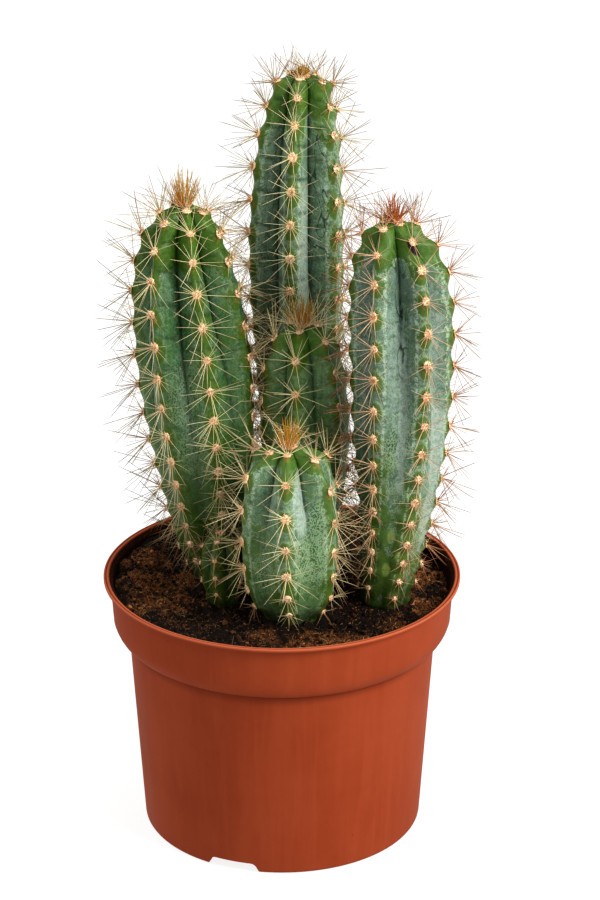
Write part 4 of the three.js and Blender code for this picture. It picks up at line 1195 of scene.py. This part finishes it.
def peat_look(name, loose):
    look = Look(name)
    grain = look.noise(900, 5, 0.7)
    specks = look.cells(820)
    brown = look.coats((10, 6, 4), (look.noise(70, 3, 0.6).step(0.35, 0.65), (19, 11, 7)),
                       (grain.step(0.52, 0.68), (50, 29, 14)))
    if loose:
        tone, = look.fields("tone")
        brown = look.coats(brown, (tone.step(0.35, 1.0), (88, 54, 27)),
                           (tone.step(0.9, 1.15) * 0.8, (168, 116, 70)))
    else:
        clump, = look.fields("clump")
        strands = look.noise(1, 3, 0.6, 2.5, look.stretched(900, 260, 600))
        # The patches are paler fibrous peat, partly painted light where the soil lies in shade
        lit = look.coats((50, 30, 15), (strands.step(0.4, 0.62), (138, 86, 44)))
        brown = look.coats(brown, (clump * grain.step(0.38, 0.56, 0.35, 1), lit))
    pale = specks.step(0.16, 0.3, 1, 0) * look.cells(820, "Color").step(0.68, 0.76)
    look.set(Base_Color=look.coats(brown, (pale * 0.75, (172, 116, 66))), Roughness=0.93,
             Specular_IOR_Level=0.15)
    look.bump(grain * 0.8 + specks * -0.6, 0.9, 0.0008)
    return look.material


def fibre_look():
    look = Look("fibre")
    tone, = look.fields("tone")
    look.set(Base_Color=look.coats((74, 48, 27), (tone, (188, 148, 96)),
                                   (look.noise(1500, 2).step(0.4, 0.7, 0, 0.3), (80, 50, 30))),
             Roughness=0.8)
    return look.material


def plastic_look():
    """Moulded terracotta coloured plastic with faint flow streaks and handling marks."""
    look = Look("terracotta_plastic")
    dirt, edge, under = look.fields("dirt edge under")
    cloud = look.noise(22, 4, 0.6)
    flow = look.noise(1, 4, 0.65, 0.6, look.stretched(150, 150, 7))
    fine = look.noise(1300, 3, 0.6)
    dust = (look.math("LESS_THAN", look.cells(60), 0.03)
            * look.math("GREATER_THAN", look.noise(17, 1), 0.5))
    # Painted shade under the rim, with peat smears: the inside is darkened
    dirt = (dirt + (look.noise(260, 4, 0.65) - 0.5) * 1.1).step(0.25, 0.6)
    shade_and_soil = look.coats((30, 17, 10), (fine.step(0.4, 0.65), (66, 36, 20)))
    base = look.coats(
        (133, 60, 34), (cloud.step(0.3, 0.7), (126, 54, 29)),
        (flow.step(0.38, 0.66, 0, 0.3), (142, 68, 42)),
        (fine.step(0.55, 0.75, 0, 0.12), (94, 38, 20)), (dust * 0.7, (96, 40, 20)),
        # Painted shade and peat smears inside, painted highlights on the lip, painted shade lines
        # in the lip's groove and at the crease
        (dirt, shade_and_soil), (edge * 0.5, (188, 108, 78)), (under * 0.5, (80, 30, 12)))
    rough = flow.step(0.3, 0.7, 0.5, 0.6) + cloud * 0.08
    look.set(Base_Color=base, Roughness=look.coats(rough, (dirt, (0.9, 0.9, 0.9, 1))),
             Specular_IOR_Level=0.04)
    look.bump(flow * 0.8 + fine * 0.1, 0.3, 0.0004)
    return look.material


def floor_look():
    look = Look("floor")
    look.set(Base_Color=look.coats((108, 108, 107), (look.noise(40, 3), (112, 112, 111))),
             Roughness=0.9, Emission_Color=(1, 1, 1, 1), Emission_Strength=0.72)
    return look.material


# Share of bloom, deep and bright green, bloom's colour, streaks, wear of the ridges, painted shade
# in the grooves, and the shares of the height where the bloom fades and where the green crown ends
SKINS = {
    "stem_tall": (0.92, (34, 62, 32), (70, 96, 38), (94, 118, 100), 0.3, 0.3, 0.3, (0.7, 1.1),
                  (0.03, 0.16)),
    "stem_left": (0.62, (24, 56, 12), (48, 78, 8), (66, 110, 74), 0.35, 0.22, 0.26, (0.3, 0.85),
                  (0.09, 0.2)),
    "stem_right": (1.0, (32, 62, 20), (64, 92, 28), (88, 107, 98), 0.3, 0.1, 0.0, (0.5, 0.95)),
    # The middle stem's greens are lighter than the others': painted light against the shade the
    # stems around it cast
    "stem_middle": (0.6, (50, 88, 38), (96, 128, 48), (108, 138, 104), 0.3, 0.2, 0.1, (0.3, 0.9)),
    "stem_front": (0.92, (40, 74, 34), (78, 106, 46), (98, 123, 99), 0.25, 0.1, 0.12, (0.3, 0.8)),
    "stem_offset": (0.08, (9, 28, 6), (26, 50, 10), (60, 84, 56), 0.2, 0.2, 0.3, (0.3, 0.9)),
}
straw_spines = spine_look("spine_straw", (216, 204, 162), (108, 70, 38))
rose_spines = spine_look("spine_rose", (212, 182, 148), (134, 76, 44))
wool = wool_look()


def dress(obj, material, slot, *nodes):
    obj.data.materials.clear()
    obj.data.materials.append(material)
    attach(obj, "root")
    if nodes:
        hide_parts(*nodes)


for stem in stems:
    skin = skin_look(stem.name.replace("stem", "skin"), *SKINS[stem.name])
    dress(stem_body(stem), skin, stem.slot, stem.name)
    dress(wool_pads(stem), wool, stem.slot)
    dress(stem_spines(stem), rose_spines if stem.name == "stem_right" else straw_spines,
          stem.slot)

dress(pot_object(), plastic_look(), "pot", "pot")
dress(soil_object(), peat_look("peat", False), "soil", "soil")
dress(crumb_object(), peat_look("peat_crumbs", True), "soil")
dress(fibre_object(), fibre_look(), "soil")

# Floor, light and camera
FLOOR_SIZE = 14000
corners = np.array([[-1, -1, 0], [1, -1, 0], [1, 1, 0], [-1, 1, 0]]) * FLOOR_SIZE
floor = new_object("floor", corners, [[0, 1, 2, 3]])
floor.data.materials.append(floor_look())

world = bpy.data.worlds.new("studio")
scene.world = world
world.use_nodes = True
backdrop = world.node_tree.nodes["Background"]
backdrop.inputs["Color"].default_value = (1.0, 1.0, 1.0, 1.0)
backdrop.inputs["Strength"].default_value = 0.52

# Softboxes: name, position, height of the target, size, power, colour
SOFTBOXES = [
    ("key", (1.45, -0.95, 1.3), 0.2, (0.8, 1.0), 54, (1.0, 0.985, 0.96)),
    ("fill", (-1.6, 0.4, 1.05), 0.16, (0.6, 1.2), 12, (1.0, 0.97, 0.93)),
    ("top", (0.2, 0.3, 1.9), 0.2, (1.0, 1.0), 9, (1, 1, 1)),
    ("front", (-0.25, -1.8, 1.0), 0.2, (0.5, 0.5), 3, (1, 1, 1)),
]


def aimed(name, data, position, line):
    """An object for a light or camera that looks along a line."""
    obj = bpy.data.objects.new(name, data)
    obj.location = position
    obj.rotation_euler = line.to_track_quat("-Z", "Y").to_euler()
    scene.collection.objects.link(obj)
    return obj


for name, position, target, size, power, colour in SOFTBOXES:
    light = bpy.data.lights.new(name, "AREA")
    light.shape = "RECTANGLE"
    light.size, light.size_y = size
    light.energy = power
    light.color = colour
    aimed(name, light, position, Vector((0, 0, target)) - Vector(position))

TARGET = Vector((8.62, 0.0, 189.7)) * MM
DISTANCE = 1.5972
ELEVATION = math.radians(22.85)
camera_data = bpy.data.cameras.new("camera")
camera_data.sensor_width = 36
camera_data.lens = 136
away = Vector((0, -math.cos(ELEVATION), math.sin(ELEVATION)))
scene.camera = aimed("camera", camera_data, TARGET + away * DISTANCE, -away)
scene.view_settings.view_transform = "Standard"
scene.view_settings.look = "Medium High Contrast"
